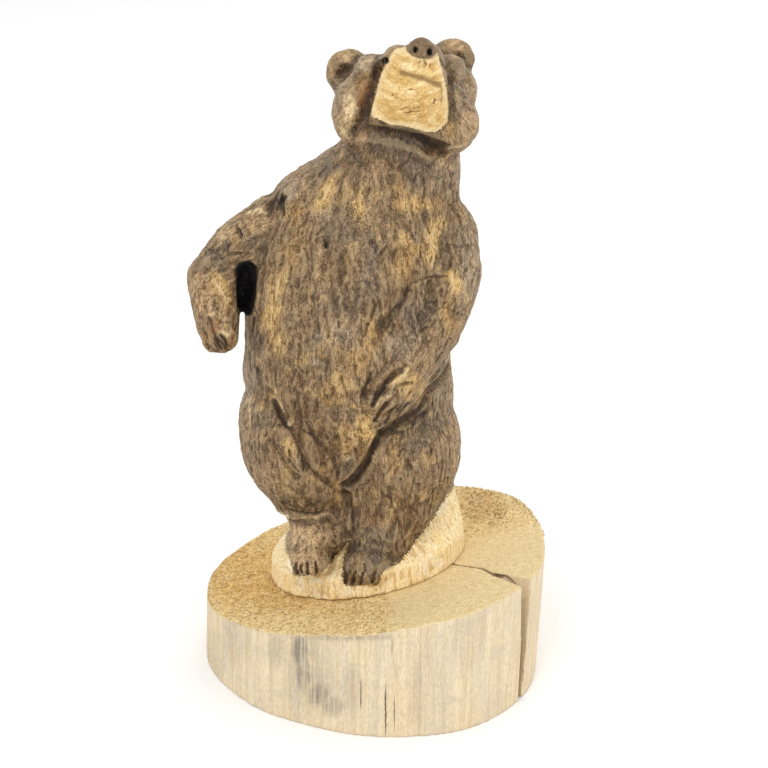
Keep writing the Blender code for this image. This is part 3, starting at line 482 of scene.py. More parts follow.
def depth_in_outline(seen, outline):
    """How far each place lies inside an outline of the photograph's frame, negative outside."""
    corners = np.array(outline, dtype=float)
    inside = np.zeros(len(seen), dtype=bool)
    nearest = np.full(len(seen), np.inf)
    for a, b in zip(corners, np.roll(corners, -1, axis=0)):
        run = b - a
        share = np.clip((seen - a) @ run / (run @ run), 0.0, 1.0)
        nearest = np.minimum(nearest, np.linalg.norm(seen - a - share[:, None] * run, axis=1))
        crosses = (a[1] > seen[:, 1]) != (b[1] > seen[:, 1])
        height = np.where(run[1] == 0, 1e-9, run[1])
        inside ^= crosses & (seen[:, 0] < a[0] + (seen[:, 1] - a[1]) * run[0] / height)
    return np.where(inside, nearest, -nearest)


# The bear's form

def unit():
    """Metres to one drawn millimetre of the figure."""
    return FIGURE_HEIGHT / DRAWN_HEIGHT


def top_height(x, y):
    """Height of the plinth's sawn top above its underside, in metres."""
    return SLICE_HEIGHT + TOP_SLOPE_X * x + TOP_SLOPE_Y * y


def top_normal():
    """Direction that the sawn top faces."""
    return Vector((-TOP_SLOPE_X, -TOP_SLOPE_Y, 1.0)).normalized()


def figure_base():
    """The point of the plinth's top that the figure is drawn from."""
    x, y = FIGURE_FROM_MIDDLE
    return Vector((x, y, top_height(x, y)))


def place(point):
    """A drawn point of the figure, in metres."""
    return figure_base() + Vector(point) * unit()


def drawn(points):
    """Metres as drawn millimetres of the figure."""
    return (points - np.array(figure_base())) / unit()


def add_form(whole, part):
    """Adds one form's faces to the whole, and frees it."""
    mesh = bpy.data.meshes.new("mass")
    part.to_mesh(mesh)
    part.free()
    whole.from_mesh(mesh)
    bpy.data.meshes.remove(mesh)


def add_ball(whole, middle, half_sizes, lean):
    """An egg-shaped mass."""
    to_side, forward = (math.radians(a) for a in lean)
    turn = Matrix.Rotation(to_side, 4, "Y") @ Matrix.Rotation(forward, 4, "X")
    size = Matrix.Diagonal((*(r * unit() for r in half_sizes), 1.0))
    form = bmesh.new()
    bmesh.ops.create_uvsphere(
        form, u_segments=48, v_segments=30, radius=1.0,
        matrix=Matrix.Translation(place(middle)) @ turn @ size,
    )
    add_form(whole, form)


def add_limb(whole, sections):
    """Round sections joined by tapered lengths."""
    for middle, radius in sections:
        add_ball(whole, middle, (radius,) * 3, (0, 0))
    for (start, wide), (end, narrow) in zip(sections, sections[1:]):
        a, b = place(start), place(end)
        turn = Vector((0, 0, 1)).rotation_difference(b - a).to_matrix().to_4x4()
        form = bmesh.new()
        bmesh.ops.create_cone(
            form, cap_ends=True, segments=48, depth=(b - a).length,
            radius1=wide * unit(), radius2=narrow * unit(),
            matrix=Matrix.Translation((a + b) / 2) @ turn,
        )
        add_form(whole, form)


def smooth_levels(levels, steps):
    """The levels of a loft, with steps more between each two on a smooth curve through them."""
    points = np.array(levels, dtype=float)
    ends = np.vstack([2 * points[0] - points[1], points, 2 * points[-1] - points[-2]])
    rows = []
    for before, here, after, beyond in zip(ends, ends[1:], ends[2:], ends[3:]):
        for share in np.arange(steps) / steps:
            slope_here, slope_after = (after - before) / 2, (beyond - here) / 2
            cubic = 2 * here - 2 * after + slope_here + slope_after
            square = 3 * (after - here) - 2 * slope_here - slope_after
            rows.append(((cubic * share + square) * share + slope_here) * share + here)
    rows.append(points[-1])
    return rows


def add_loft(whole, levels, sides=72, steps=6):
    """A body whose level sections are ovals that change from one to the next, closed at both ends."""
    form = bmesh.new()
    rings = []
    for height, x, y, half_width, half_depth in smooth_levels(levels, steps):
        ring = []
        for turn in np.linspace(0.0, 2 * math.pi, sides, endpoint=False):
            across, deep = half_width * math.cos(turn), half_depth * math.sin(turn)
            ring.append(form.verts.new(place((x + across, y + deep, height))))
        rings.append(ring)
    for low, high in zip(rings, rings[1:]):
        for n in range(sides):
            after = (n + 1) % sides
            form.faces.new((low[n], low[after], high[after], high[n]))
    form.faces.new(reversed(rings[0]))
    form.faces.new(rings[-1])
    add_form(whole, form)


def add_drum(whole, low, low_radius, high, high_radius, low_slopes, high_slopes):
    """A round block between two middles. An end that slopes lies along the plinth's top."""
    form = bmesh.new()
    made = bmesh.ops.create_cone(form, cap_ends=True, segments=96, depth=2.0, radius1=1.0, radius2=1.0)
    for vert in made["verts"]:
        above = vert.co.z > 0
        middle, radius, slopes = (high, high_radius, high_slopes) if above else (low, low_radius, low_slopes)
        around = Vector((vert.co.x, vert.co.y, 0.0)).normalized() * radius
        rise = TOP_SLOPE_X * around.x + TOP_SLOPE_Y * around.y if slopes else 0.0
        vert.co = middle + around + Vector((0.0, 0.0, rise))
    add_form(whole, form)


def on_top(x, y, above):
    """The point that height above the plinth's top, under or over a drawn place."""
    point = place((x, y, 0.0))
    return Vector((point.x, point.y, top_height(point.x, point.y) + above))


def add_footing(whole):
    """The drum and the cone under the feet. The drum reaches below the top until it is sawn."""
    low, high = on_top(*FOOTING_MIDDLE, -FOOTING_WALL), on_top(*FOOTING_MIDDLE, FOOTING_WALL)
    foot, rim, neck = (r * unit() for r in (FOOTING_RADIUS, FOOTING_RIM_RADIUS, FOOTING_NECK_RADIUS))
    add_drum(whole, low, foot, high, rim, True, True)
    add_drum(whole, high, rim, place(FOOTING_NECK), neck, True, False)


def new_object(name, mesh):
    """An object that shows the mesh."""
    made = bpy.data.objects.new(name, mesh)
    bpy.context.scene.collection.objects.link(made)
    return made


def applied(obj):
    """Puts the mesh with its modifiers in place of the mesh that the object had."""
    graph = bpy.context.evaluated_depsgraph_get()
    mesh = bpy.data.meshes.new_from_object(obj.evaluated_get(graph), depsgraph=graph)
    obj.modifiers.clear()
    obj.data = mesh
    return mesh


def remeshed(obj, voxel, softening):
    """One skin on an even grid, softened where forms meet."""
    fuse = obj.modifiers.new("fuse", "REMESH")
    fuse.mode = "VOXEL"
    fuse.voxel_size = voxel
    if softening:
        soften = obj.modifiers.new("soften", "SMOOTH")
        soften.factor = 0.5
        soften.iterations = softening
    applied(obj)


def fused_figure(name):
    """All masses and limbs as one soft skin, then the footing, whose edges stay crisp."""
    form = bmesh.new()
    add_loft(form, TRUNK)
    add_loft(form, MUZZLE)
    for middle, half_sizes, lean in MASSES.values():
        add_ball(form, middle, half_sizes, lean)
    for sections in LIMBS.values():
        add_limb(form, sections)
    mesh = bpy.data.meshes.new(name)
    form.to_mesh(mesh)
    form.free()
    made = new_object(name, mesh)
    remeshed(made, VOXEL, SOFTENING)
    form = bmesh.new()
    form.from_mesh(made.data)
    add_footing(form)
    form.to_mesh(made.data)
    form.free()
    remeshed(made, VOXEL, FOOTING_SOFTENING)
    return made


def footing_skin():
    """The footing alone, for telling it from the feet."""
    form = bmesh.new()
    add_footing(form)
    skin = BVHTree.FromBMesh(form)
    form.free()
    return skin


# Carving

def mesh_points(mesh):
    """The mesh's corners and their outward directions, as rows."""
    count = len(mesh.vertices)
    points, normals = np.empty(count * 3), np.empty(count * 3)
    mesh.vertices.foreach_get("co", points)
    mesh.vertices.foreach_get("normal", normals)
    return points.reshape(-1, 3), normals.reshape(-1, 3)


def set_points(mesh, points):
    """Moves the mesh's corners."""
    mesh.vertices.foreach_set("co", points.ravel())
    mesh.update()


def skin_of(points, mesh):
    """A tree of the mesh's faces, for finding places on it."""
    return BVHTree.FromPolygons(points.tolist(), [tuple(f.vertices) for f in mesh.polygons])


class Block:
    """Wood to carve: corners and directions in millimetres, sorted by height to find the near ones."""

    def __init__(self, points, normals, skin):
        self.order = np.argsort(points[:, 2])
        self.points = points[self.order]
        self.normals = normals[self.order]
        self.heights = self.points[:, 2].copy()
        self.skin = skin
        self.cut = np.zeros(len(points))
        self.dark = np.zeros(len(points))

    def near(self, laid, reach):
        """The corners near a path, and how far each lies from it."""
        low, high = laid.min(axis=0) - reach, laid.max(axis=0) + reach
        first, last = np.searchsorted(self.heights, (low[2], high[2]))
        some = self.points[first:last]
        rows = first + np.flatnonzero(np.all((some > low) & (some < high), axis=1))
        return rows, distance_to_path(self.points[rows], laid)

    def carve(self, path, half_width, depth, dark=0.0):
        """Cuts a round-bottomed groove along a path that is first laid on the skin, and darkens it: painted shade in
        the groove, with darker stain on the bear.
        """
        laid = np.array([self.skin.find_nearest(Vector(p))[0] for p in path])
        rows, away = self.near(laid, half_width)
        share = np.clip(1.0 - (away / half_width) ** 2, 0.0, None)
        deep = share ** 2 * depth
        self.cut[rows] = np.maximum(self.cut[rows], deep) + np.minimum(self.cut[rows], deep) * 0.5
        self.dark[rows] = np.maximum(self.dark[rows], share * dark)

    def unsorted(self, rows):
        """Values of the block's corners in the order that the corners came in."""
        made = np.empty_like(rows)
        made[self.order] = rows
        return made

    def moved(self):
        """How far each corner moves."""
        return self.unsorted(-self.normals * self.cut[:, None])

    def dark_and_shade_in_cuts(self):
        """How dark each corner is painted in the cuts: painted shade, with darker stain on the bear."""
        return self.unsorted(self.dark)


def distance_to_path(points, path):
    """Each point's distance to a path of straight lengths."""
    nearest = np.full(len(points), np.inf)
    for a, b in zip(path, path[1:]):
        run = b - a
        share = np.clip((points - a) @ run / max(run @ run, 1e-9), 0.0, 1.0)
        nearest = np.minimum(nearest, np.linalg.norm(points - a - share[:, None] * run, axis=1))
    return nearest


def smooth_path(points, steps=4):
    """The path with more points on a smooth curve through it."""
    return np.array(smooth_levels(points, steps)) if len(points) > 2 else np.array(points, dtype=float)


def nearest_arm(point):
    """The direction of the arm length whose round form the drawn point lies on, or None."""
    for name in ("right arm", "left arm"):
        for (a, wide), (b, narrow) in zip(LIMBS[name], LIMBS[name][1:]):
            start, run = np.array(a, dtype=float), np.subtract(b, a).astype(float)
            share = np.clip((point - start) @ run / (run @ run), 0.0, 1.0)
            if np.linalg.norm(point - start - share * run) < wide + (narrow - wide) * share + ARM_COAT:
                return run / np.linalg.norm(run)
    return None


def coat_lie(point):
    """The way the fur lies at a drawn point: along the nearest arm, back from the nose, or down."""
    along = nearest_arm(point)
    if along is not None:
        return along
    head_share = np.clip((point[2] - NECK_HEIGHT) / NECK_BLEND, 0.0, 1.0)
    back = (point - NOSE_TIP) / np.linalg.norm(point - NOSE_TIP)
    lie = back * head_share + np.array((0.0, 0.0, -1.0)) * (1.0 - head_share)
    return lie / np.linalg.norm(lie)


def is_furred(point, bare_skin):
    """False on the bare muzzle and on the footing."""
    if point[2] > 262 and point[1] < -8:
        seen = in_photo(np.array(place(point))[None, :])
        return depth_in_outline(seen, MUZZLE_PLATE)[0] < -3.0
    if point[2] < 52:
        return bare_skin.find_nearest(place(point))[3] > 0.0020
    return True


def stroke_starts(points, spacing, seed):
    """Places on the skin about one spacing apart: one in each cell of a coarse grid."""
    shuffled = points[np.random.default_rng(seed).permutation(len(points))]
    cells = np.floor(shuffled / spacing).astype(int)
    first = np.unique(cells, axis=0, return_index=True)[1]
    return shuffled[np.sort(first)]


def carve_coat(block, points, row, bare_skin):
    """Cuts strokes of one kind all over the fur."""
    spacing, length, half_width, depth, vary, stray, seed = row
    starts = stroke_starts(points, spacing, seed)
    chance = np.random.default_rng(seed + 100)
    for start in starts:
        size, strength = 1.0 + vary * chance.uniform(-1, 1, 2)
        turn = chance.normal(0.0, stray, 3)
        if not is_furred(start, bare_skin):
            continue
        lie = coat_lie(start) + turn
        lie = lie / np.linalg.norm(lie) * length * size
        if not is_furred(start + lie, bare_skin):
            continue
        if start[2] > NECK_HEIGHT:
            strength *= HEAD_STROKES
        block.carve((start, start + lie / 2, start + lie), half_width, depth * strength)


def laid_on_front(skin, places):
    """Drawn points on the skin behind places of the photograph's frame."""
    hits = []
    base = figure_base()
    for p in places:
        eye, way = photo_ray(p)
        hit = skin.ray_cast((eye - base) / unit(), way)[0]
        if hit is not None:
            hits.append(tuple(hit))
    return hits


def carve_bear(bear, bare_skin):
    """Cuts locks, strands, folds, face and claws, and keeps how dark each cut is."""
    world, normals = mesh_points(bear.data)
    points = drawn(world)
    block = Block(points, normals, skin_of(points, bear.data))
    carve_coat(block, points, LOCKS, bare_skin)
    for half_width, depth, path in CUTS.values():
        block.carve(smooth_path(path), half_width, depth)
    carve_coat(block, points, STRANDS, bare_skin)
    carve_coat(block, points, SCRATCHES, bare_skin)
    carve_coat(block, points, NICKS, bare_skin)
    for half_width, depth, dark, places in FRONT_CUTS.values():
        block.carve(laid_on_front(block.skin, smooth_path(places)), half_width, depth, dark)
    for middle, (_, reach), lean in CLAW_MARKS:
        run = np.array((-math.sin(math.radians(lean)), math.cos(math.radians(lean)))) * reach
        block.carve(laid_on_front(block.skin, (middle - run, middle + run)), CLAW_HALF_WIDTH, CLAW_DEPTH)
    set_points(bear.data, world + block.moved() * unit())
    set_value(bear.data, "cuts", block.dark_and_shade_in_cuts())


def knock_about(bear):
    """The unevenness of hand work: low swells and small chips, only into the wood."""
    world, normals = mesh_points(bear.data)
    amount = np.empty(len(world))
    for n, point in enumerate(world.tolist()):
        swell = noise.noise(Vector(point) * 75)
        chip = noise.noise(Vector(point) * 260)
        amount[n] = 0.45 - 0.9 * swell + 0.25 * max(0.0, chip)
    amount = np.clip(amount, 0.0, None) * 0.00055
    set_points(bear.data, world - normals * amount[:, None])


def thinned(obj, triangles):
    """Keeps the faces to a number."""
    obj.data.calc_loop_triangles()
    thin = obj.modifiers.new("thin", "DECIMATE")
    thin.ratio = min(1.0, triangles / len(obj.data.loop_triangles))
    applied(obj)


def saw_underside(bear):
    """Cuts the footing flat along the plinth's top, a fit gap above it."""
    form = bmesh.new()
    form.from_mesh(bear.data)
    normal = top_normal()
    start = Vector((0.0, 0.0, SLICE_HEIGHT)) + normal * FIT_GAP
    whole = form.verts[:] + form.edges[:] + form.faces[:]
    bmesh.ops.bisect_plane(form, geom=whole, plane_co=start, plane_no=normal, clear_inner=True)
    bmesh.ops.holes_fill(form, edges=[e for e in form.edges if e.is_boundary])
    bmesh.ops.triangulate(form, faces=[f for f in form.faces if len(f.verts) > 4])
    form.to_mesh(bear.data)
    form.free()


def kept_in_box(obj, node):
    """Presses the few corners that stand out of the solid's box back onto it."""
    low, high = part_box(node)
    points = mesh_points(obj.data)[0]
    set_points(obj.data, np.clip(points, np.array(low), np.array(high)))


# Attributes for the materials

def relaxed(points, edges, rounds):
    """The corners after rounds of moving each one to the middle of its neighbours."""
    ends = np.concatenate([edges[:, 0], edges[:, 1]])
    others = np.concatenate([edges[:, 1], edges[:, 0]])
    number = np.maximum(np.bincount(ends, minlength=len(points)), 1)
    now = points.copy()
    for _ in range(rounds):
        for axis in range(3):
            total = np.bincount(ends, weights=now[others, axis], minlength=len(points))
            now[:, axis] = 0.5 * now[:, axis] + 0.5 * total / number
    return now


def hollows(mesh, rounds):
    """How deep each corner lies under the relaxed skin, in millimetres: negative on ridges."""
    points, normals = mesh_points(mesh)
    edges = np.empty(len(mesh.edges) * 2, dtype=np.int32)
    mesh.edges.foreach_get("vertices", edges)
    level = relaxed(points, edges.reshape(-1, 2), rounds)
    return np.einsum("ij,ij->i", level - points, normals) * 1000


def set_value(mesh, name, values):
    """Keeps one number at each corner for the material."""
    mesh.attributes.new(name, "FLOAT", "POINT").data.foreach_set("value", values.astype(np.float32))


def set_vector(mesh, name, rows):
    """Keeps one vector at each corner for the material."""
    mesh.attributes.new(name, "FLOAT_VECTOR", "POINT").data.foreach_set("vector", rows.astype(np.float32).ravel())


def step(low, high, values):
    """Zero below low, one above high, smooth between."""
    share = np.clip((values - low) / (high - low), 0.0, 1.0)
    return share * share * (3 - 2 * share)


def coat_places(points):
    """Places of the coat in millimetres, with the third number running along the lie of the fur."""
    made = points.copy()
    radius = np.linalg.norm(points - NOSE_TIP, axis=1)
    around = (points - NOSE_TIP) / radius[:, None] * 55.0
    on_head = points[:, 2] > NECK_HEIGHT + 6 + 3 * np.sin(points[:, 0] * 0.35)
    made[on_head] = np.column_stack([around[:, 0], around[:, 2], radius])[on_head]
    for name in ("right arm", "left arm"):
        for (a, wide), (b, narrow) in zip(LIMBS[name], LIMBS[name][1:]):
            start, run = np.array(a, dtype=float), np.subtract(b, a).astype(float)
            share = np.clip((points - start) @ run / (run @ run), 0.0, 1.0)
            off = np.linalg.norm(points - start - share[:, None] * run, axis=1)
            along = run / np.linalg.norm(run)
            side = np.cross(along, (0.0, 1.0, 0.0))
            side = side / np.linalg.norm(side)
            turned = np.column_stack([points @ side, points @ np.cross(along, side), points @ along])
            on_arm = (off < wide + (narrow - wide) * share + ARM_COAT) & ~on_head
            made[on_arm] = turned[on_arm]
    return made


def strokes(seen, rows):
    """The strongest of several thin leaning ovals."""
    made = np.zeros(len(seen))
    for middle, half_sizes, lean in rows:
        made = np.maximum(made, spot(seen, middle, half_sizes, lean))
    return made


def stirred(seen, points, amount=1.0):
    """Places of the photograph's frame, stirred a little so that painted edges are uneven."""
    shift = np.empty((len(points), 2))
    for n, point in enumerate(points.tolist()):
        wide = noise.noise_vector(Vector(point) * 0.085)
        close = noise.noise_vector(Vector(point) * 0.31)
        shift[n] = (8.0 * wide.x + 3.5 * close.x, 8.0 * wide.y + 3.5 * close.y)
    return seen + shift * amount


def painted(seen, rows):
    """Colours of the stain at the front, with its painted shade and highlights: each row lays its finish over those
    before it.
    """
    colours = np.tile(FINISHES["walnut"], (len(seen), 1))
    for finish, middle, half_sizes, lean, strength in rows:
        share = spot(seen, middle, half_sizes, lean) * strength
        colours += (np.array(FINISHES[finish]) - colours) * share[:, None]
    return colours


def finish_bear_attributes(bear, bare_skin):
    """Works out where wood is bare, stained, dark, hollow or on a ridge, and where painted shade, sheen and glints go.
    """
    mesh = bear.data
    world, normals = mesh_points(mesh)
    points = drawn(world)
    seen = in_photo(world)
    eye = photo_axes()[0]
    to_eye = (eye - world) / np.linalg.norm(eye - world, axis=1)[:, None]
    front = step(-0.05, 0.15, np.einsum("ij,ij->i", normals, to_eye)) * step(34.0, 12.0, points[:, 1])
    off_face = ~((points[:, 2] > 262) & (points[:, 1] < -8))
    from_footing = np.full(len(points), 9.0)
    for n in np.flatnonzero(points[:, 2] < 56):
        from_footing[n] = bare_skin.find_nearest(Vector(world[n]))[3] * 1000
    low_front = (points[:, 2] < 60) & (front > 0.5) & (points[:, 1] < 20)
    bare = np.where(low_front, -depth_in_outline(seen, STAINED) * 0.6, 2.6 - from_footing)
    stain_and_light_places = stirred(seen, points)
    # Surfaces seen edge-on from the front turn silver: painted sheen of grazing light, partly the greyer wood of the
    # flanks. Undersides are left out.
    sides = step(0.62, 0.15, np.einsum("ij,ij->i", normals, to_eye)) * 0.45
    sides *= step(-0.40, -0.05, normals[:, 2])
    # The stain at the front, with painted shade in its creases and painted highlights and glints.
    stain_and_painted_light = painted(stain_and_light_places, FRONT_STAIN_AND_PAINTED_LIGHT)
    stain_and_painted_light += (np.array(FINISHES["grey_and_sheen"]) - stain_and_painted_light) * sides[:, None]
    plate = depth_in_outline(seen, MUZZLE_PLATE)
    set_value(mesh, "plate", np.where(off_face, -9.0, plate))
    set_value(mesh, "nose", np.where(off_face, -9.0, depth_in_outline(seen, NOSE_PAD)))
    set_value(mesh, "chin", spots(seen, CHIN) * ~off_face)
    set_value(mesh, "bare", np.clip(bare, -9.0, 9.0))
    in_slit = (points[:, 1] < 30) & (points[:, 0] < -40)
    set_value(mesh, "hole_shade", np.where(in_slit, depth_in_outline(seen, HOLE_SHADE), -9.0))
    set_value(mesh, "hollow", hollows(mesh, 60))
    set_value(mesh, "groove", hollows(mesh, 6))
    set_value(mesh, "front", front)
    stroke_places = stirred(seen, points, 0.35)
    set_value(mesh, "dark_and_shade_strokes", strokes(stroke_places, DARK_AND_SHADE_STROKES) * front * 0.85)
    set_value(mesh, "pale_and_glint_strokes", strokes(stroke_places, PALE_AND_GLINT_STROKES) * front * 0.70)
    set_value(mesh, "splinters", strokes(seen, SPLINTERS) * front * 0.75)
    set_vector(mesh, "stain_and_painted_light", stain_and_painted_light)
    set_vector(mesh, "seen", np.column_stack([seen, np.zeros(len(seen))]))
    set_vector(mesh, "coat", coat_places(points))


def build_bear():
    """The carved figure with its footing."""
    bare_skin = footing_skin()
    bear = fused_figure("carved_bear")
    carve_bear(bear, bare_skin)
    knock_about(bear)
    thinned(bear, BEAR_TRIANGLES)
    saw_underside(bear)
    kept_in_box(bear, "bear")
    finish_bear_attributes(bear, bare_skin)
    bear.data.shade_smooth()
    return bear


# The slice of log

def side_distance(points):
    """How far each corner lies below the sawn top, along the top's own direction, in millimetres."""
    normal = np.array(top_normal())
    return (np.array((0.0, 0.0, SLICE_HEIGHT)) - points) @ normal * 1000


def torn_grain(points):
    """How deep the saw tore the end grain at each corner, from 0 to about 1."""
    depth = np.empty(len(points))
    for n, (x, y, z) in enumerate((points * 1000).tolist()):
        clump = noise.noise(Vector((x * 0.13, y * 0.13, 3.0)))
        fibre = noise.noise(Vector((x * 0.34, y * 0.40, z * 0.1)))
        fuzz = noise.noise(Vector((x * 0.85, y * 0.85, 7.0)))
        depth[n] = 0.5 + 0.40 * clump + 0.40 * fibre + 0.50 * fuzz
    return np.clip(depth, 0.0, 1.6)


def build_log():
    """The slice of log with its top torn and sawn, its side weathered and its cracks."""
    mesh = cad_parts["plinth"].data.copy()
    mesh.materials.clear()
    log = new_object("log_slice", mesh)
    remeshed(log, LOG_VOXEL, 1)
    world, normals = mesh_points(log.data)
    seen = in_photo(world)
    below = side_distance(world)
    on_top_face = (below < 1.2) & (normals @ np.array(top_normal()) > 0.6)
    on_side = (np.abs(normals[:, 2]) < 0.5) & (world[:, 2] > 0.0006)
    sawn = smooth_sawn(seen)
    inward = np.zeros(len(world))
    rows = np.flatnonzero(on_top_face)
    inward[rows] = torn_grain(world[rows]) * (1.45 - 1.15 * sawn[rows]) + 0.1
    inward[rows] += spots(seen[rows], TOP_PITS) * np.clip(torn_grain(world[rows] * 0.8) - 0.5, 0.0, 0.6) * 2.5
    rim = step(6.0, 0.0, rim_distance(world)) * (1.0 - 0.8 * sawn)
    inward[rows] += (rim * np.clip(torn_grain(world * 0.55) - 0.25, 0.0, 1.0))[rows] * 2.6
    rows = np.flatnonzero(on_side)
    for n in rows:
        x, y, z = world[n] * 1000
        swell = noise.noise(Vector((x * 0.05, y * 0.05, z * 0.012)))
        fibre = noise.noise(Vector((x * 0.38, y * 0.38, z * 0.03)))
        inward[n] = max(0.0, 0.35 + 0.45 * swell + 0.22 * fibre)
    moved = world - normals * inward[:, None] * 0.001
    set_points(log.data, moved)
    carve_log(log)
    thinned(log, LOG_TRIANGLES)
    kept_in_box(log, "plinth")
    finish_log_attributes(log)
    log.data.shade_smooth()
    return log


def smooth_sawn(seen):
    """One where the saw left the top smooth: the right front and the back lobe of the slice."""
    edge = seen[:, 0] - 0.22 * (seen[:, 1] - 595) + 4.0 * np.sin(seen[:, 1] * 0.45) + 3.0 * np.sin(seen[:, 1] * 1.3)
    return step(376, 398, edge) * step(527, 545, seen[:, 1] + 0.25 * (seen[:, 0] - 480))


def rim_distance(world):
    """About how far each corner lies inside the log's side, in millimetres."""
    radius = np.linalg.norm(world[:, :2] / (0.104, 0.112), axis=1)
    return (1.0 - radius) * 104.0


def carve_log(log):
    """Cuts the side's drying checks and the crack across the top."""
    world, normals = mesh_points(log.data)
    points = world * 1000
    skin = skin_of(points, log.data)
    block = Block(points, normals, skin)

    def laid(places):
        found = []
        for p in places:
            eye, way = photo_ray(p)
            hit = skin.ray_cast(eye * 1000, way)[0]
            if hit is not None:
                found.append(tuple(hit))
        return found

    for start, end, depth in SIDE_CHECKS:
        block.carve(laid((start, np.add(start, end) / 2, end)), SIDE_CHECK_HALF_WIDTH, depth)
    path = laid(smooth_path(TOP_CRACK))
    block.carve(path, 1.3, 1.8, 0.9)
    set_points(log.data, world + block.moved() * 0.001)
    set_value(log.data, "cuts", block.dark_and_shade_in_cuts())


def finish_log_attributes(log):
    """Works out the log's top, side, smooth sawn part, stains and cracks."""
    mesh = log.data
    world, normals = mesh_points(mesh)
    seen = in_photo(world)
    facing = relaxed_normals(mesh) @ np.array(top_normal())
    below = side_distance(world)
    top = step(0.35, 0.65, facing) * (below < 6)
    points = world * 1000
    eye = photo_axes()[0]
    front = step(0.0, 0.2, np.einsum("ij,ij->i", normals, eye - world))
    radius = np.linalg.norm(points[:, :2], axis=1)
    cleft_side = (below > 1.5) & (radius < 97) & (world[:, 2] > 0.001)
    set_value(mesh, "top", top)
    set_value(mesh, "front", front)
    set_vector(mesh, "seen", np.column_stack([seen, np.zeros(len(seen))]))
    set_value(mesh, "sawn", smooth_sawn(seen))
    set_value(mesh, "ruddy", spots(seen, RUDDY))
    set_value(mesh, "pitted", spots(seen, TOP_PITS))
    set_value(mesh, "stain", spots(seen, STAIN_PATCHES) * front * (1 - top))
    set_value(mesh, "groove", hollows(mesh, 6))
    set_value(mesh, "cleft", cleft_side.astype(float))
    set_value(mesh, "below", below)


def relaxed_normals(mesh):
    """The corners' directions, evened out over their neighbours."""
    normals = mesh_points(mesh)[1]
    edges = np.empty(len(mesh.edges) * 2, dtype=np.int32)
    mesh.edges.foreach_get("vertices", edges)
    even = relaxed(normals, edges.reshape(-1, 2), 6)
    return even / np.linalg.norm(even, axis=1)[:, None]


# Materials

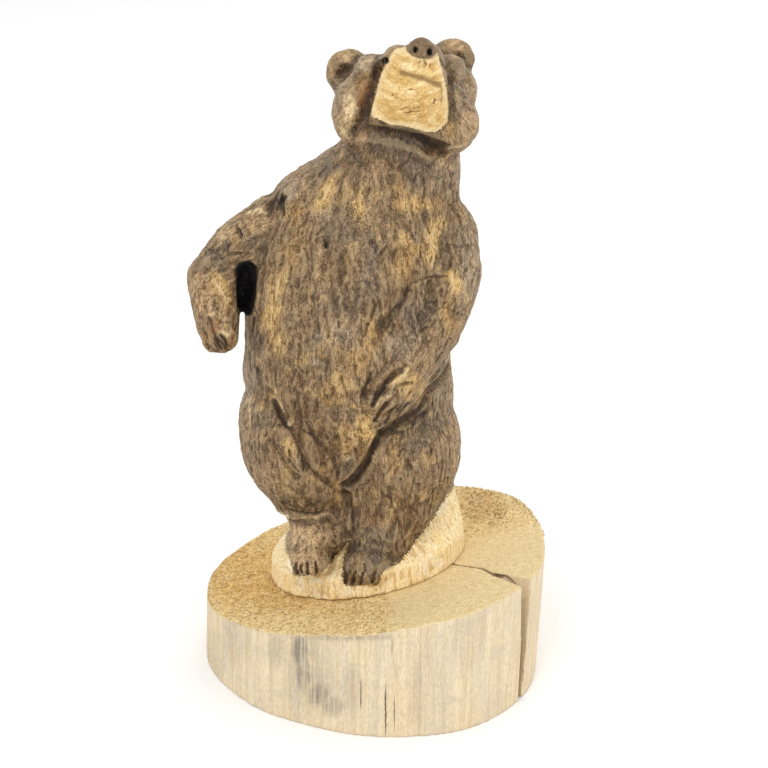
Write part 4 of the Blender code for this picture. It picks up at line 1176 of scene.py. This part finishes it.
class Shade:
    """Builds one material's nodes."""

    def __init__(self, name):
        self.material = bpy.data.materials.new(name)
        self.material.use_nodes = True
        self.tree = self.material.node_tree
        self.shader = self.tree.nodes["Principled BSDF"]

    def put(self, socket, value):
        """Joins an output to a socket, or sets the socket."""
        if isinstance(value, bpy.types.NodeSocket):
            self.tree.links.new(value, socket)
        elif isinstance(value, tuple) and len(value) == 3 and socket.type == "RGBA":
            socket.default_value = (*value, 1.0)
        else:
            socket.default_value = value

    def attribute(self, name, output="Fac"):
        node = self.tree.nodes.new("ShaderNodeAttribute")
        node.attribute_name = name
        return node.outputs[output]

    def position(self):
        return self.tree.nodes.new("ShaderNodeTexCoord").outputs["Object"]

    def stretched(self, vector, sizes):
        """Places measured in the given sizes, so that a pattern is that long along each axis."""
        node = self.tree.nodes.new("ShaderNodeMapping")
        self.put(node.inputs["Vector"], vector)
        node.inputs["Scale"].default_value = tuple(1.0 / s for s in sizes)
        return node.outputs["Vector"]

    def noise(self, vector, detail=3.0, roughness=0.55, distortion=0.0):
        node = self.tree.nodes.new("ShaderNodeTexNoise")
        self.put(node.inputs["Vector"], vector)
        node.inputs["Scale"].default_value = 1.0
        node.inputs["Detail"].default_value = detail
        node.inputs["Roughness"].default_value = roughness
        node.inputs["Distortion"].default_value = distortion
        return node.outputs["Fac"]

    def cells(self, vector, feature="F1"):
        node = self.tree.nodes.new("ShaderNodeTexVoronoi")
        self.put(node.inputs["Vector"], vector)
        node.inputs["Scale"].default_value = 1.0
        node.feature = feature
        return node.outputs["Distance"]

    def span(self, value, low, high, to_low=0.0, to_high=1.0, smooth=True):
        """The value's span from low to high, spread over another span."""
        node = self.tree.nodes.new("ShaderNodeMapRange")
        node.interpolation_type = "SMOOTHSTEP" if smooth else "LINEAR"
        self.put(node.inputs["Value"], value)
        for key, number in (("From Min", low), ("From Max", high), ("To Min", to_low), ("To Max", to_high)):
            node.inputs[key].default_value = number
        return node.outputs["Result"]

    def maths(self, operation, a, b=0.0, clamp=False):
        node = self.tree.nodes.new("ShaderNodeMath")
        node.operation = operation
        node.use_clamp = clamp
        self.put(node.inputs[0], a)
        self.put(node.inputs[1], b)
        return node.outputs["Value"]

    def mix(self, share, a, b, blend="MIX"):
        node = self.tree.nodes.new("ShaderNodeMix")
        node.data_type = "RGBA"
        node.blend_type = blend
        self.put(node.inputs[0], share)
        self.put(node.inputs[6], a)
        self.put(node.inputs[7], b)
        return node.outputs[2]

    def ramp(self, value, stops):
        node = self.tree.nodes.new("ShaderNodeValToRGB")
        line = node.color_ramp
        while len(line.elements) < len(stops):
            line.elements.new(1.0)
        for element, (at, colour) in zip(line.elements, stops):
            element.position = at
            element.color = (*colour, 1.0)
        self.put(node.inputs["Fac"], value)
        return node.outputs["Color"]

    def tinted(self, colour, gain):
        """The colour made lighter or darker. Dark places also turn redder, and light ones paler."""
        node = self.tree.nodes.new("ShaderNodeCombineColor")
        self.put(node.inputs["Red"], gain)
        self.put(node.inputs["Green"], self.maths("POWER", gain, 1.06))
        self.put(node.inputs["Blue"], self.maths("POWER", gain, 1.20))
        return self.mix(1.0, colour, node.outputs["Color"], "MULTIPLY")

    def stirred(self, seen, places, amount):
        """Places of the photograph's frame, stirred so that small marks have uneven edges."""
        pattern = self.tree.nodes.new("ShaderNodeTexNoise")
        self.put(pattern.inputs["Vector"], self.stretched(places, (1.8,) * 3))
        pattern.inputs["Scale"].default_value = 1.0
        pattern.inputs["Detail"].default_value = 1.0
        shift = self.tree.nodes.new("ShaderNodeVectorMath")
        shift.operation = "MULTIPLY_ADD"
        self.put(shift.inputs[0], pattern.outputs["Color"])
        self.put(shift.inputs[1], (amount, amount, 0.0))
        self.put(shift.inputs[2], seen)
        back = self.tree.nodes.new("ShaderNodeVectorMath")
        back.operation = "SUBTRACT"
        self.put(back.inputs[0], shift.outputs["Vector"])
        self.put(back.inputs[1], (amount / 2, amount / 2, 0.0))
        return back.outputs["Vector"]

    def marks(self, seen, rows, strength):
        """How strongly a place of the photograph's frame lies in any of some leaning ovals."""
        most = 0.0
        for (x, y), (wide, tall), lean in rows:
            node = self.tree.nodes.new("ShaderNodeMapping")
            node.vector_type = "TEXTURE"
            self.put(node.inputs["Vector"], seen)
            node.inputs["Location"].default_value = (x, y, 0.0)
            node.inputs["Rotation"].default_value = (0.0, 0.0, math.radians(lean))
            node.inputs["Scale"].default_value = (wide, tall, 1.0)
            away = self.tree.nodes.new("ShaderNodeVectorMath")
            away.operation = "LENGTH"
            self.put(away.inputs[0], node.outputs["Vector"])
            inside = self.span(away.outputs["Value"], 1.25, 0.70, 0.0, strength)
            most = self.maths("MAXIMUM", inside, most)
        return most

    def bump(self, height, strength, distance):
        node = self.tree.nodes.new("ShaderNodeBump")
        node.inputs["Strength"].default_value = strength
        node.inputs["Distance"].default_value = distance
        self.put(node.inputs["Height"], height)
        return node.outputs["Normal"]


def bear_material():
    """Stained fur, lighter on its ridges, with painted shade in its hollows, creases and cuts and painted sheen and
    glints, and the bare wood of the muzzle and the footing, with painted shade in their grooves.
    """
    s = Shade("stained carving")
    coat = s.attribute("coat", "Vector")
    front = s.attribute("front")
    groove = s.attribute("groove")
    cuts = s.attribute("cuts")
    place_mm = s.stretched(s.position(), (0.001,) * 3)
    seen = s.stirred(s.attribute("seen", "Vector"), place_mm, 4.0)
    hair = s.noise(s.stretched(coat, (0.62, 0.62, 5.5)), 1.0, 0.5, 0.2)
    strand = s.noise(s.stretched(coat, (1.4, 1.4, 9.0)), 3.0, 0.6, 0.5)
    grit = s.noise(s.stretched(place_mm, (0.8, 0.8, 1.2)), 1.0, 0.5)
    facet = s.noise(s.stretched(place_mm, (4.6, 4.6, 6.5)), 3.0, 0.55, 0.8)
    clouds = s.noise(s.stretched(place_mm, (19.0, 19.0, 27.0)), 3.0, 0.6, 0.6)
    blots = s.noise(s.stretched(place_mm, (9.0, 9.0, 13.0)), 3.0, 0.6, 0.8)
    wild = s.mix(s.span(clouds, 0.44, 0.70, 0.0, 0.5), FINISHES["walnut"], FINISHES["golden"])
    wild = s.mix(s.span(clouds, 0.50, 0.34, 0.0, 0.5), wild, FINISHES["slate"])
    wild = s.mix(s.span(blots, 0.48, 0.34, 0.0, 0.4), wild, FINISHES["umber"])
    # The front takes the painted stain, shade and highlights; elsewhere the stain is clouded at random.
    stain_and_painted_light = s.mix(front, wild, s.attribute("stain_and_painted_light", "Color"))
    stain_and_painted_light = s.mix(s.span(blots, 0.52, 0.66, 0.0, 0.34), stain_and_painted_light, FINISHES["golden"])
    stain_and_painted_light = s.mix(s.span(blots, 0.47, 0.34, 0.0, 0.50), stain_and_painted_light, FINISHES["umber"])
    stain_and_painted_light = s.mix(s.span(clouds, 0.46, 0.36, 0.0, 0.30), stain_and_painted_light, FINISHES["umber"])
    gain = 1.0
    for pattern, strength in ((hair, 2.1), (strand, 1.1), (grit, 1.8), (facet, 1.4)):
        gain = s.maths("ADD", s.maths("MULTIPLY", s.maths("SUBTRACT", pattern, 0.5), strength), gain)
    gain = s.maths("MAXIMUM", gain, 0.25)
    fur = s.tinted(stain_and_painted_light, gain)
    # Ridges lighter, towards cream.
    ridge_lightening = s.span(groove, -0.02, -0.20, 0.0, 0.35)
    fur = s.mix(ridge_lightening, fur, s.mix(0.5, fur, FINISHES["cream"]))
    pits_and_glints = s.noise(s.stretched(place_mm, (1.3, 1.3, 2.6)), 2.0, 0.6, 0.5)
    # Dark pits of the wood, then painted glints of gloss.
    fur = s.mix(s.span(pits_and_glints, 0.37, 0.29, 0.0, 0.7), fur, FINISHES["dark_stain_and_shade"])
    fur = s.mix(s.span(pits_and_glints, 0.64, 0.71, 0.0, 0.3), fur, FINISHES["cream"])
    # Painted shade in the hollows and grooves of the carving.
    hollow_shade = s.span(s.attribute("hollow"), 0.30, 2.2, 0.0, 0.40)
    groove_shade = s.span(groove, 0.05, 0.30, 0.0, 0.50)
    fur = s.mix(s.maths("MAXIMUM", hollow_shade, groove_shade), fur, (0.050, 0.030, 0.017))
    # Painted shade in the cuts, with darker stain.
    fur = s.mix(s.maths("MULTIPLY", cuts, 0.80), fur, (0.040, 0.022, 0.012))
    # Dark lines, with painted shade in the creases.
    fur = s.mix(s.attribute("dark_and_shade_strokes"), fur, (0.030, 0.016, 0.009))
    # Pale streaks, and painted glints and highlights.
    fur = s.mix(s.attribute("pale_and_glint_strokes"), fur, FINISHES["cream"])
    # Painted shade: the hollow behind the right arm is made near-black.
    fur = s.mix(s.span(s.attribute("hole_shade"), -2.2, 1.4), fur, (0.003, 0.002, 0.002))

    figure = s.noise(s.stretched(place_mm, (16.0, 60.0, 7.0)), 2.0, 0.5, 1.6)
    pores = s.noise(s.stretched(place_mm, (0.9, 0.9, 2.6)), 2.0, 0.6)
    cream = s.ramp(figure, (
        (0.30, (0.500, 0.300, 0.095)), (0.45, (0.640, 0.420, 0.160)), (0.60, (0.740, 0.540, 0.250)),
        (0.75, (0.840, 0.680, 0.390)),
    ))
    plate = s.attribute("plate")
    middle = s.attribute("chin")
    swirl = s.noise(s.stretched(place_mm, (9.0, 20.0, 2.2)), 3.0, 0.6, 2.5)
    cream = s.mix(s.maths("MULTIPLY", middle, s.span(swirl, 0.40, 0.60, 0.1, 0.85)), cream, (0.480, 0.270, 0.080))
    chips = s.noise(s.stretched(place_mm, (2.6, 2.6, 1.6)), 3.0, 0.65, 0.8)
    cream = s.tinted(cream, s.span(chips, 0.32, 0.68, 0.78, 1.22, smooth=False))
    cream = s.tinted(cream, s.span(grit, 0.25, 0.75, 0.80, 1.24, smooth=False))
    cream = s.mix(s.span(plate, 7.0, 0.5, 0.0, 0.5), cream, (0.860, 0.700, 0.430))
    cream = s.mix(s.span(pores, 0.36, 0.26, 0.0, 0.55), cream, (0.36, 0.22, 0.09))
    # Painted shade in the grooves of the muzzle.
    cream = s.mix(s.span(groove, 0.03, 0.25, 0.0, 0.6), cream, (0.42, 0.27, 0.11))
    cream = s.mix(s.marks(seen, MUZZLE_TEARS, 0.8), cream, (0.160, 0.080, 0.030))
    # Painted shade in the mouth and the other cuts of the muzzle.
    cream = s.mix(s.maths("MULTIPLY", cuts, 0.85), cream, (0.13, 0.075, 0.035))

    fibre = s.noise(s.stretched(place_mm, (1.3, 1.3, 26.0)), 3.0, 0.6)
    chalk = s.ramp(fibre, (
        (0.30, (0.600, 0.380, 0.130)), (0.42, (0.760, 0.560, 0.270)), (0.55, (0.840, 0.680, 0.400)),
        (0.70, (0.880, 0.770, 0.550)),
    ))
    facets = s.noise(s.stretched(place_mm, (17.0, 17.0, 15.0)), 3.0, 0.5, 1.2)
    chalk = s.mix(s.span(facets, 0.56, 0.62, 0.0, 0.45), chalk, (0.80, 0.71, 0.55))
    chalk = s.mix(s.span(facets, 0.46, 0.34, 0.0, 0.4), chalk, (0.84, 0.62, 0.28))
    chalk = s.tinted(chalk, s.span(grit, 0.25, 0.75, 0.84, 1.24, smooth=False))
    chalk = s.mix(s.attribute("splinters"), chalk, (0.46, 0.25, 0.07))
    chalk = s.mix(s.span(pits_and_glints, 0.36, 0.30, 0.0, 0.7), chalk, (0.38, 0.22, 0.08))
    # Painted shade in the grooves of the footing.
    chalk = s.mix(s.span(groove, 0.05, 0.28, 0.0, 0.6), chalk, (0.52, 0.33, 0.12))

    pad = s.tinted((0.290, 0.190, 0.100), gain)
    pad = s.mix(s.marks(seen, NOSE_STRIPE, 0.5), pad, (0.42, 0.29, 0.20))
    # Painted shade in the nostrils.
    pad = s.mix(s.maths("MULTIPLY", cuts, 0.6), pad, (0.008, 0.005, 0.004))

    edge = s.maths("MULTIPLY", s.maths("SUBTRACT", grit, 0.5), 5.0)
    footing = s.span(s.maths("ADD", s.attribute("bare"), edge), -0.5, 0.5)
    on_plate = s.span(s.maths("ADD", plate, edge), -0.6, 0.6)
    on_nose = s.span(s.maths("ADD", s.attribute("nose"), s.maths("MULTIPLY", edge, 1.6)), -0.7, 0.7)
    colour = s.mix(footing, fur, chalk)
    colour = s.mix(on_plate, colour, cream)
    colour = s.mix(on_nose, colour, pad)
    colour = s.mix(s.maths("MULTIPLY", s.marks(seen, CLAW_MARKS, 0.9), front), colour, (0.055, 0.028, 0.013))
    # Near-black eye, nostrils and small holes: dark wood, with painted shade in the holes.
    colour = s.mix(s.maths("MULTIPLY", s.marks(seen, BLACK_MARKS_AND_HOLE_SHADE, 1.0), front), colour, (0.006, 0.004, 0.003))
    s.put(s.shader.inputs["Base Color"], colour)
    gloss_spots = s.noise(s.stretched(place_mm, (2.2, 2.2, 3.2)), 2.0, 0.5)
    bare = s.maths("MAXIMUM", footing, on_plate)
    rough = s.span(gloss_spots, 0.55, 0.68, 0.62, 0.28)
    rough = s.maths("MAXIMUM", rough, s.maths("MULTIPLY", bare, 0.82))
    s.put(s.shader.inputs["Roughness"], rough)
    s.shader.inputs["IOR"].default_value = 1.45
    s.shader.inputs["Specular IOR Level"].default_value = 0.28
    relief = s.maths("ADD", s.maths("MULTIPLY", hair, 0.35), s.maths("MULTIPLY", strand, 0.7))
    relief = s.maths("ADD", relief, s.maths("MULTIPLY", grit, 0.25))
    relief = s.maths("ADD", relief, s.maths("MULTIPLY", facet, 1.2))
    calm = s.maths("SUBTRACT", 1.0, s.maths("MULTIPLY", bare, 0.80))
    s.put(s.shader.inputs["Normal"], s.bump(s.maths("MULTIPLY", relief, calm), 0.9, 0.0013))
    return s.material


def log_material():
    """Torn and sawn end grain above, with painted shade in its hollows and crack, and the weathered, barkless side."""
    s = Shade("log wood")
    place_mm = s.stretched(s.position(), (0.001,) * 3)
    groove = s.attribute("groove")
    clump = s.noise(s.stretched(place_mm, (13.0, 13.0, 13.0)), 3.0, 0.6, 0.5)
    straw = s.noise(s.stretched(place_mm, (0.8, 0.8, 0.9)), 2.0, 0.7, 0.3)
    chaff = s.noise(s.stretched(place_mm, (3.4, 3.4, 3.0)), 4.0, 0.75, 0.6)
    fuzz = s.maths("ADD", s.maths("MULTIPLY", straw, 0.45), s.maths("MULTIPLY", chaff, 0.55))
    golden = s.ramp(fuzz, (
        (0.37, (0.360, 0.210, 0.070)), (0.45, (0.690, 0.460, 0.180)), (0.52, (0.860, 0.640, 0.280)),
        (0.61, (0.950, 0.810, 0.490)),
    ))
    ruddy = s.ramp(fuzz, (
        (0.37, (0.260, 0.120, 0.030)), (0.45, (0.530, 0.285, 0.075)), (0.52, (0.710, 0.420, 0.115)),
        (0.61, (0.900, 0.640, 0.250)),
    ))
    torn = s.mix(s.maths("MULTIPLY", s.attribute("ruddy"), s.span(clump, 0.34, 0.60, 0.55, 1.0)), golden, ruddy)
    khaki = s.ramp(fuzz, (
        (0.30, (0.460, 0.320, 0.135)), (0.43, (0.650, 0.490, 0.240)), (0.55, (0.750, 0.590, 0.320)),
        (0.70, (0.830, 0.690, 0.440)),
    ))
    sawn = s.attribute("sawn")
    top = s.mix(sawn, torn, khaki)
    dust = s.noise(s.stretched(place_mm, (0.62, 0.62, 0.62)), 1.0)
    top = s.tinted(top, s.span(dust, 0.25, 0.75, 0.76, 1.26, smooth=False))
    crumbs = s.noise(s.stretched(place_mm, (1.1, 1.1, 1.1)), 1.0, 0.5)
    dents = s.span(crumbs, 0.42, 0.30, 0.0, 0.75)
    top = s.mix(s.maths("MULTIPLY", dents, s.span(sawn, 0.0, 1.0, 1.0, 0.30, smooth=False)), top, (0.260, 0.130, 0.036))
    tufts = s.span(crumbs, 0.56, 0.68, 0.0, 0.55)
    top = s.mix(s.maths("MULTIPLY", tufts, s.span(sawn, 0.0, 1.0, 1.0, 0.40, smooth=False)), top, (0.940, 0.760, 0.400))
    holes = s.span(s.noise(s.stretched(place_mm, (1.9, 1.5, 1.9)), 3.0, 0.6, 1.0), 0.52, 0.60, 0.0, 0.9)
    top = s.mix(s.maths("MULTIPLY", holes, s.attribute("pitted")), top, (0.180, 0.088, 0.028))
    # Painted shade in the hollows of the torn grain, and its ridges lighter.
    top = s.mix(s.span(groove, 0.10, 0.40, 0.0, 0.60), top, (0.250, 0.125, 0.035))
    top = s.mix(s.span(groove, -0.10, -0.35, 0.0, 0.4), top, (0.900, 0.760, 0.470))

    grain = s.noise(s.stretched(place_mm, (2.6, 2.6, 60.0)), 3.0, 0.6, 0.3)
    wide = s.noise(s.stretched(place_mm, (15.0, 15.0, 90.0)), 3.0, 0.55, 0.5)
    side = s.ramp(grain, (
        (0.30, (0.590, 0.465, 0.295)), (0.42, (0.670, 0.540, 0.355)), (0.55, (0.715, 0.590, 0.400)),
        (0.70, (0.760, 0.645, 0.455)),
    ))
    side = s.mix(s.span(wide, 0.50, 0.68, 0.0, 0.32), side, (0.770, 0.600, 0.360))
    side = s.mix(s.span(wide, 0.46, 0.32, 0.0, 0.30), side, (0.600, 0.530, 0.430))
    side = s.tinted(side, s.span(s.noise(s.stretched(place_mm, (0.8, 0.8, 3.0)), 1.0), 0.25, 0.75, 0.88, 1.12, smooth=False))
    patches = s.noise(s.stretched(place_mm, (16.0, 16.0, 12.0)), 3.0, 0.6, 0.5)
    side = s.mix(s.span(patches, 0.46, 0.34, 0.0, 0.35), side, (0.530, 0.455, 0.350))
    flecks = s.noise(s.stretched(place_mm, (0.9, 0.9, 5.0)), 2.0, 0.6)
    side = s.mix(s.span(flecks, 0.38, 0.28, 0.0, 0.4), side, (0.380, 0.270, 0.160))
    smudge = s.noise(s.stretched(place_mm, (5.0, 5.0, 6.0)), 4.0, 0.7)
    drips = s.noise(s.stretched(place_mm, (1.6, 1.6, 30.0)), 3.0, 0.6)
    smear = s.maths("MULTIPLY", s.span(smudge, 0.34, 0.60, 0.7, 1.0), s.span(drips, 0.36, 0.58, 0.45, 1.0))
    stain = s.maths("MULTIPLY", s.attribute("stain"), smear)
    side = s.mix(s.maths("MULTIPLY", stain, 0.95), side, (0.215, 0.180, 0.145))

    inside = s.mix(s.span(grain, 0.35, 0.6), (0.200, 0.120, 0.060), (0.480, 0.330, 0.190))
    side = s.mix(s.attribute("cleft"), side, inside)
    seen = s.attribute("seen", "Vector")
    side = s.mix(s.maths("MULTIPLY", s.marks(s.stirred(seen, place_mm, 2.0), SIDE_MARKS, 0.9), s.attribute("front")), side,
                 (0.100, 0.060, 0.034))
    colour = s.mix(s.attribute("top"), side, top)
    # Painted shade in the crack across the top.
    colour = s.mix(s.maths("MULTIPLY", s.attribute("cuts"), 0.85), colour, (0.090, 0.048, 0.022))
    s.put(s.shader.inputs["Base Color"], colour)
    s.shader.inputs["Roughness"].default_value = 0.85
    s.shader.inputs["IOR"].default_value = 1.4
    rough_top = s.maths("MULTIPLY", fuzz, s.span(sawn, 0.0, 1.0, 1.0, 0.45, smooth=False))
    relief = s.mix(s.attribute("top"), s.maths("MULTIPLY", grain, 0.16), rough_top)
    s.put(s.shader.inputs["Normal"], s.bump(relief, 0.9, 0.0016))
    return s.material


def floor_material():
    """Plain pale floor with the faintest unevenness."""
    s = Shade("studio floor")
    cloud = s.noise(s.stretched(s.position(), (0.4, 0.4, 0.4)), 1.0, 0.4)
    s.put(s.shader.inputs["Base Color"], s.mix(cloud, (0.92, 0.92, 0.92), (0.94, 0.94, 0.94)))
    s.shader.inputs["Roughness"].default_value = 0.9
    return s.material


# Stage

def add_light(name, where, size, power, colour=(1.0, 1.0, 1.0)):
    """A soft square light that looks at the figure."""
    lamp = bpy.data.lights.new(name, "AREA")
    lamp.shape = "SQUARE"
    lamp.size = size
    lamp.energy = power
    lamp.color = colour
    made = bpy.data.objects.new(name, lamp)
    bpy.context.scene.collection.objects.link(made)
    made.location = where
    made.rotation_euler = (Vector(AIM) - Vector(where)).to_track_quat("-Z", "Y").to_euler()
    return made


def build_stage():
    """Floor, soft light all round, and the photograph's camera."""
    scene = bpy.context.scene
    form = bmesh.new()
    bmesh.ops.create_grid(form, x_segments=4, y_segments=4, size=6.0)
    mesh = bpy.data.meshes.new("floor")
    form.to_mesh(mesh)
    form.free()
    floor = new_object("floor", mesh)
    floor.location.z = -0.0002
    mesh.materials.append(floor_material())
    world = bpy.data.worlds.new("studio")
    world.use_nodes = True
    world.node_tree.nodes["Background"].inputs["Color"].default_value = (1.0, 1.0, 1.0, 1.0)
    world.node_tree.nodes["Background"].inputs["Strength"].default_value = 0.92
    scene.world = world
    add_light("key", (-0.55, -1.1, 1.5), 0.9, 10.0)
    add_light("side", (1.2, -0.5, 0.9), 0.8, 4.0)
    add_light("back", (0.4, 1.2, 1.3), 0.9, 5.0)
    eye, forward, _, _ = photo_axes()
    camera = bpy.data.objects.new("camera", bpy.data.cameras.new("camera"))
    scene.collection.objects.link(camera)
    camera.location = Vector(eye)
    camera.rotation_euler = Vector(forward).to_track_quat("-Z", "Y").to_euler()
    camera.data.sensor_width = SENSOR
    camera.data.lens = LENS
    camera.data.dof.use_dof = False
    scene.camera = camera
    scene.view_settings.view_transform = "Standard"


def main():
    bear = build_bear()
    bear.data.materials.clear()
    bear.data.materials.append(bear_material())
    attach(bear, "root")
    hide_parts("bear")
    log = build_log()
    log.data.materials.clear()
    log.data.materials.append(log_material())
    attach(log, "root")
    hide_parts("plinth")
    build_stage()


main()
